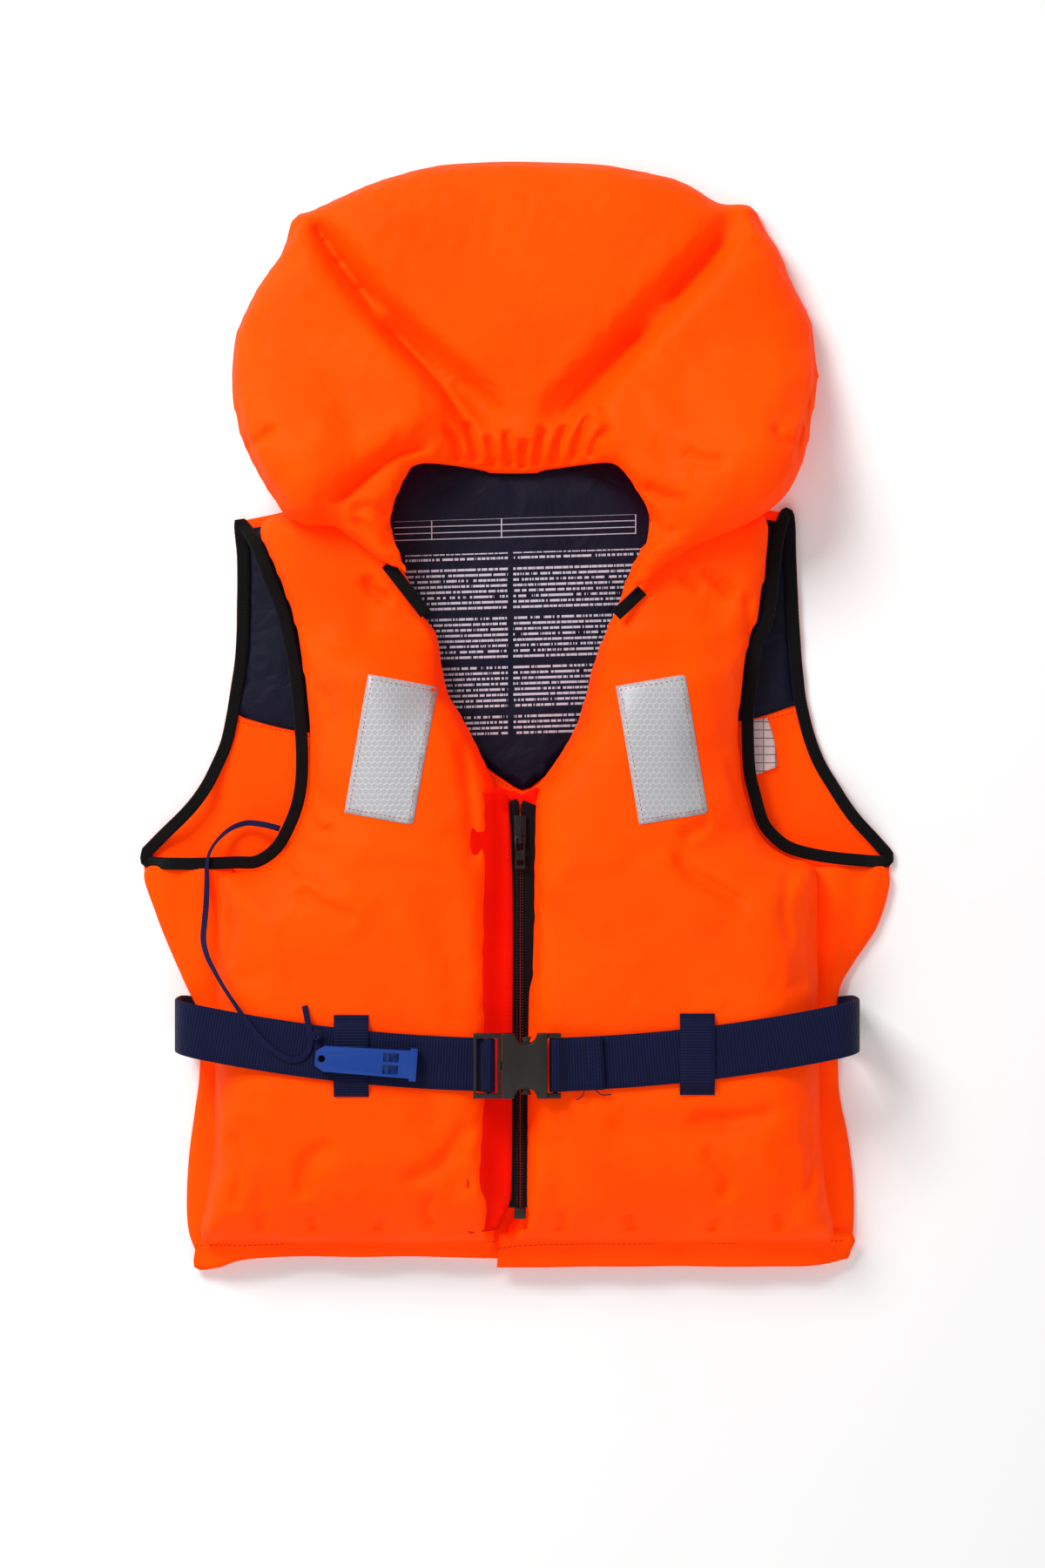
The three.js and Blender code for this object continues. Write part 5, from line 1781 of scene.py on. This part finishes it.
@dataclass
class Lanyard:
    """A narrow woven tape from the armhole to the whistle, with a knot and a loose end."""

    width: float = 4.4
    thickness: float = 0.9
    route: tuple[tuple[float, float, float], ...] = (
        (-172.5, -84, 20.8), (-179.5, -82, 20.6), (-187.5, -80.5, 16), (-198, -80, 10.5), (-209, -84, 11),
        (-218, -92, 15.5), (-223.5, -101, 20.6), (-225.5, -111, 21.4), (-225.4, -120, 22),
        (-225.2, -130, 26), (-225, -141, 34), (-225, -152, 45), (-224.6, -163, 57), (-221, -174, 67.5),
        (-215.5, -184, 73.4), (-209, -195, 76), (-201, -207, 76.6), (-192, -220, 76.6),
        (-183, -232, 76.6), (-173, -241, 76.6), (-162, -247, 76.6), (-153.5, -246, 76.6),
        (-148, -240, 76.6), (-147, -230, 76.6), (-149, -219, 76), (-151, -209, 74.4))

    def build(self, whistle: bpy.types.Object) -> None:
        """Sweeps the tape, turning slowly as it lies, and ties the knot."""
        path = curve(self.route, 2.5)
        drop = 1.0 * smooth(60, 76, path[:, 2])
        path[:, 2] -= drop
        along = np.gradient(path, axis=0)
        level = np.cross(along, [0.0, 0.0, 1.0])
        level /= np.linalg.norm(level, axis=1)[:, None]
        upright = np.cross(along / np.linalg.norm(along, axis=1)[:, None], level)
        share = np.linspace(0, 1, len(path))
        twist = math.radians(62) * np.exp(-((share - 0.20) / 0.10) ** 2) + math.radians(50) * np.exp(
            -((share - 0.62) / 0.12) ** 2)
        across = level * np.cos(twist)[:, None] + upright * np.sin(twist)[:, None]
        tape = swept("lanyard_tape", path, across, self.width, self.thickness, columns=4)
        TAPE.dress(tape)
        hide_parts("whistle_lanyard")
        knot = self.knot()
        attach(tape, "jacket")

    def knot(self) -> bpy.types.Object:
        """A tight overhand knot: one strand wound twice over itself."""
        t = np.linspace(0, 2 * math.pi, 73)[:-1]
        ring = 1.9 + 0.9 * np.cos(3 * t)
        path = np.column_stack([-141.9 + ring * np.cos(2 * t), -229.5 + ring * np.sin(2 * t),
                                77.4 + 1.1 * np.sin(3 * t)])
        across = np.column_stack([np.cos(2 * t), np.sin(2 * t), 0.5 * np.ones(len(t))])
        piece = swept("lanyard_knot_tied", path, across, 2.4, 1.5, columns=3, closed=True)
        TAPE.dress(piece)
        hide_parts("lanyard_knot")
        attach(piece, "jacket")
        return piece


# ---- Studio -------------------------------------------------------------------------------------


@dataclass
class Studio:
    """White floor, soft light from above and a camera straight overhead."""

    centre: Point = (3.75, -51.5)
    height: float = 2456.0
    lens: float = 77.0

    def build_camera(self) -> None:
        """A camera that looks straight down, +Y up."""
        data = bpy.data.cameras.new("Camera")
        data.lens = self.lens
        data.sensor_width = 36
        data.clip_start, data.clip_end = 0.05, 50
        camera = bpy.data.objects.new("Camera", data)
        camera.location = (self.centre[0] * MM, self.centre[1] * MM, self.height * MM)
        bpy.context.scene.collection.objects.link(camera)
        bpy.context.scene.camera = camera

    def build_light(self) -> None:
        """A wide soft light, a low one for relief and an even surround."""
        scene = bpy.context.scene
        scene.view_settings.view_transform = "Standard"
        for name, place, size, power in (("Key", (-1.15, 1.4, 1.7), 1.0, 50.0),
                                         ("Fill", (-0.2, -1.6, 1.9), 2.2, 17.0)):
            data = bpy.data.lights.new(name, "AREA")
            data.shape = "SQUARE"
            data.size = size
            data.energy = power
            lamp = bpy.data.objects.new(name, data)
            lamp.location = place
            aim = Vector((0, -0.05, 0.05)) - Vector(place)
            lamp.rotation_euler = aim.to_track_quat("-Z", "Y").to_euler()
            scene.collection.objects.link(lamp)
        world = bpy.data.worlds.new("Surround")
        world.use_nodes = True
        world.node_tree.nodes["Background"].inputs["Color"].default_value = srgb("#FFFFFF")
        world.node_tree.nodes["Background"].inputs["Strength"].default_value = 0.42
        scene.world = world

    def build_floor(self) -> None:
        """A wide sheet of white paper under the jacket."""
        size = 9000.0
        corners = np.array([(sx * size, sy * size, -0.2) for sx, sy in ((-1, -1), (1, -1), (1, 1), (-1, 1))])
        floor = new_piece("studio_floor", corners, [[0, 1, 2, 3]])
        floor.data.materials.append(PAPER.material())


FRONTS = (
    Front(Side.LEFT,
          ((-14, -387), (-14, -387), (-14, -200), (-13, -68), (-16, -52), (-33, -14), (-49, 14), (-54, 34),
           (-56, 56), (-70, 76), (-70, 76)),
          ((-236, -404), (-219, -404), (-190, -396), (-100, -395), (-17, -395), (-17, -395), (-17, -376),
           (-17, -376), (-120, -374), (-232, -378), (-232, -378)),
          (Crease(((-88, 100), (-80, 60), (-74, 20), (-58, -20)), 4, 14),
           Crease(((-152, 40), (-140, 10), (-146, -30)), 3, 10),
           Crease(((-152, -48), (-136, -66), (-120, -80)), 4, 7),
           Crease(((-160, -90), (-140, -110), (-128, -130)), 4, 10),
           Crease(((-146, -112), (-130, -134), (-104, -148)), -3, 14),
           Crease(((-60, -120), (-44, -190), (-40, -240)), 4, 12),
           Crease(((-212, -140), (-196, -170), (-192, -200)), 3, 10),
           Crease(((-70, -280), (-50, -310), (-34, -350)), 4, 12),
           Crease(((-200, -290), (-180, -330), (-190, -366)), 3, 12),
           Crease(((-112, 96), (-106, 70), (-112, 40)), 4, 9)),
          (Crease(((-108, 100), (-106, 90), (-91, 78)), 3.5, 4),
           Crease(((-152, -61), (-150, -73), (-142, -85), (-127, -82)), 3, 3.5),
           Crease(((-159, -126), (-138, -138), (-112, -149)), 2.6, 5),
           Crease(((-150, -119), (-165, -105), (-173, -101)), 2.4, 4),
           Crease(((-40, -20), (-34, -60), (-30, -110)), 2.2, 5),
           Crease(((-212, -122), (-206, -150), (-208, -186)), 2.4, 4),
           Crease(((-146, 20), (-136, 8), (-132, -12)), 2.0, 4),
           Crease(((-34, -290), (-52, -320), (-84, -336)), 3.0, 7),
           Crease(((-130, -306), (-150, -322), (-154, -350)), 2.6, 7),
           Crease(((-206, -300), (-198, -330), (-206, -360)), 2.6, 5),
           Crease(((-60, -372), (-66, -356), (-60, -342)), 2.4, 4),
           Crease(((-100, -374), (-98, -360)), 2.0, 3.5),
           Crease(((-146, -374), (-150, -360)), 2.2, 3.5),
           Crease(((-186, -374), (-182, -358)), 2.0, 3.5))),
    Front(Side.RIGHT,
          ((-12, -387), (-12, -387), (-6, -370), (2, -354), (4, -240), (9, -68), (14, -54), (26, -36), (43, -6),
           (56, 42), (66, 66), (70, 74), (70, 74)),
          ((-15, -403), (-15, -403), (100, -402), (210, -402), (241, -397), (241, -397), (236, -376), (120, -376),
           (-13, -377), (-13, -377)),
          (Crease(((84, 78), (70, 40), (56, -4)), 4, 10),
           Crease(((160, 100), (146, 84), (140, 60)), 5, 8),
           Crease(((168, 60), (152, 52), (148, 30)), 3, 9),
           Crease(((160, -10), (146, -30), (146, -56)), 4, 8),
           Crease(((168, -80), (140, -96), (110, -100)), 4, 10),
           Crease(((84, -108), (112, -128), (150, -150)), -3, 16),
           Crease(((20, -130), (40, -160), (80, -176)), 3, 14),
           Crease(((200, -130), (206, -170), (202, -205)), 4, 9),
           Crease(((60, -290), (110, -300), (170, -292)), 4, 14),
           Crease(((20, -300), (30, -330), (26, -360)), 3, 10),
           Crease(((190, -300), (198, -340), (188, -370)), 3, 10)),
          (Crease(((166, 88), (168, 66), (173, 54)), 3.2, 4),
           Crease(((132, 104), (148, 92), (157, 82)), 3.2, 4),
           Crease(((117, 100), (134, 88)), 2.6, 4),
           Crease(((153, -30), (160, -60), (172, -80)), 3, 4),
           Crease(((111, -99), (119, -111), (138, -124), (167, -140)), 3, 5),
           Crease(((138, -78), (115, -90)), 2.4, 5),
           Crease(((214, -120), (212, -150), (216, -190)), 3, 3.5),
           Crease(((196, -112), (190, -140), (196, -170)), 2.2, 5),
           Crease(((186, -284), (150, -292), (120, -290)), 2.6, 6),
           Crease(((132, -310), (150, -330), (146, -352)), 2.4, 6),
           Crease(((206, -290), (212, -320), (208, -350)), 2.8, 4),
           Crease(((48, 50), (40, 20), (30, -6)), 2.4, 4),
           Crease(((30, -374), (34, -356)), 2.0, 3.5),
           Crease(((84, -374), (80, -358)), 2.2, 3.5),
           Crease(((140, -374), (144, -360)), 2.0, 3.5),
           Crease(((190, -374), (186, -358)), 2.2, 3.5)),
          zip_round=20.0),
)


def report(step: str, known: set[str]) -> None:
    """Logs the pieces that a step has added.

    Args:
        step: What was built.
        known: Names logged before; the new ones join them.
    """
    for piece in bpy.context.scene.objects:
        if piece.type == "MESH" and piece.name not in known:
            known.add(piece.name)
            LOG.info("%s: %s", step, piece.name)


def main() -> None:
    """Builds the jacket in order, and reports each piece."""
    logging.basicConfig(level=logging.INFO, format="%(message)s")
    known = {piece.name for piece in bpy.context.scene.objects}
    studio = Studio()
    studio.build_camera()
    whistle = Whistle().build()
    Lanyard().build(whistle)
    report("whistle and lanyard", known)
    studio.build_light()
    studio.build_floor()
    back = Back()
    back.dress(back.build())
    report("studio and back", known)
    for front in FRONTS:
        front.build()
        front.dress()
        report(f"front {front.side.word}", known)
    covers = Surfaces(*[front.piece for front in FRONTS])
    for front in FRONTS:
        strip = front.build_hem()
        s = front.side.sign
        ends = ((-234, -388), (-190, -386), (-100, -384), (-17, -384)) if s < 0 else (
            (-13, -389), (20, -386), (120, -385), (236, -384))
        line = Surfaces(strip).lay(curve(ends, 5.0), 0.1)
        row(f"hem_stitches_{front.side.word}", [line], ORANGE_THREAD, "jacket", 3.8, 2.9, 0.7, 0.5)
    for side in Side:
        panel = SidePanel(side)
        panel.build()
        panel.dress()
        ArmholeBinding(side).build()
    report("hems, sides and armholes", known)
    collar = Collar()
    collar.build()
    collar.dress()
    report("collar", known)
    fastening = Zip()
    fastening.build()
    fastening.build_placket()
    fastening.build_metal()
    belt = Belt()
    belt.build()
    belt.build_loops(covers)
    Buckle().build()
    report("zip, belt and buckle", known)
    Patch(Side.LEFT, (-90.0, -27.0), -10.0).build(covers)
    Patch(Side.RIGHT, (103.0, -27.0), 9.5).build(covers)
    Label().build(Surfaces(bpy.data.objects["back_cloth"]))
    report("patches and label", known)


if __name__ == "__main__":
    main()
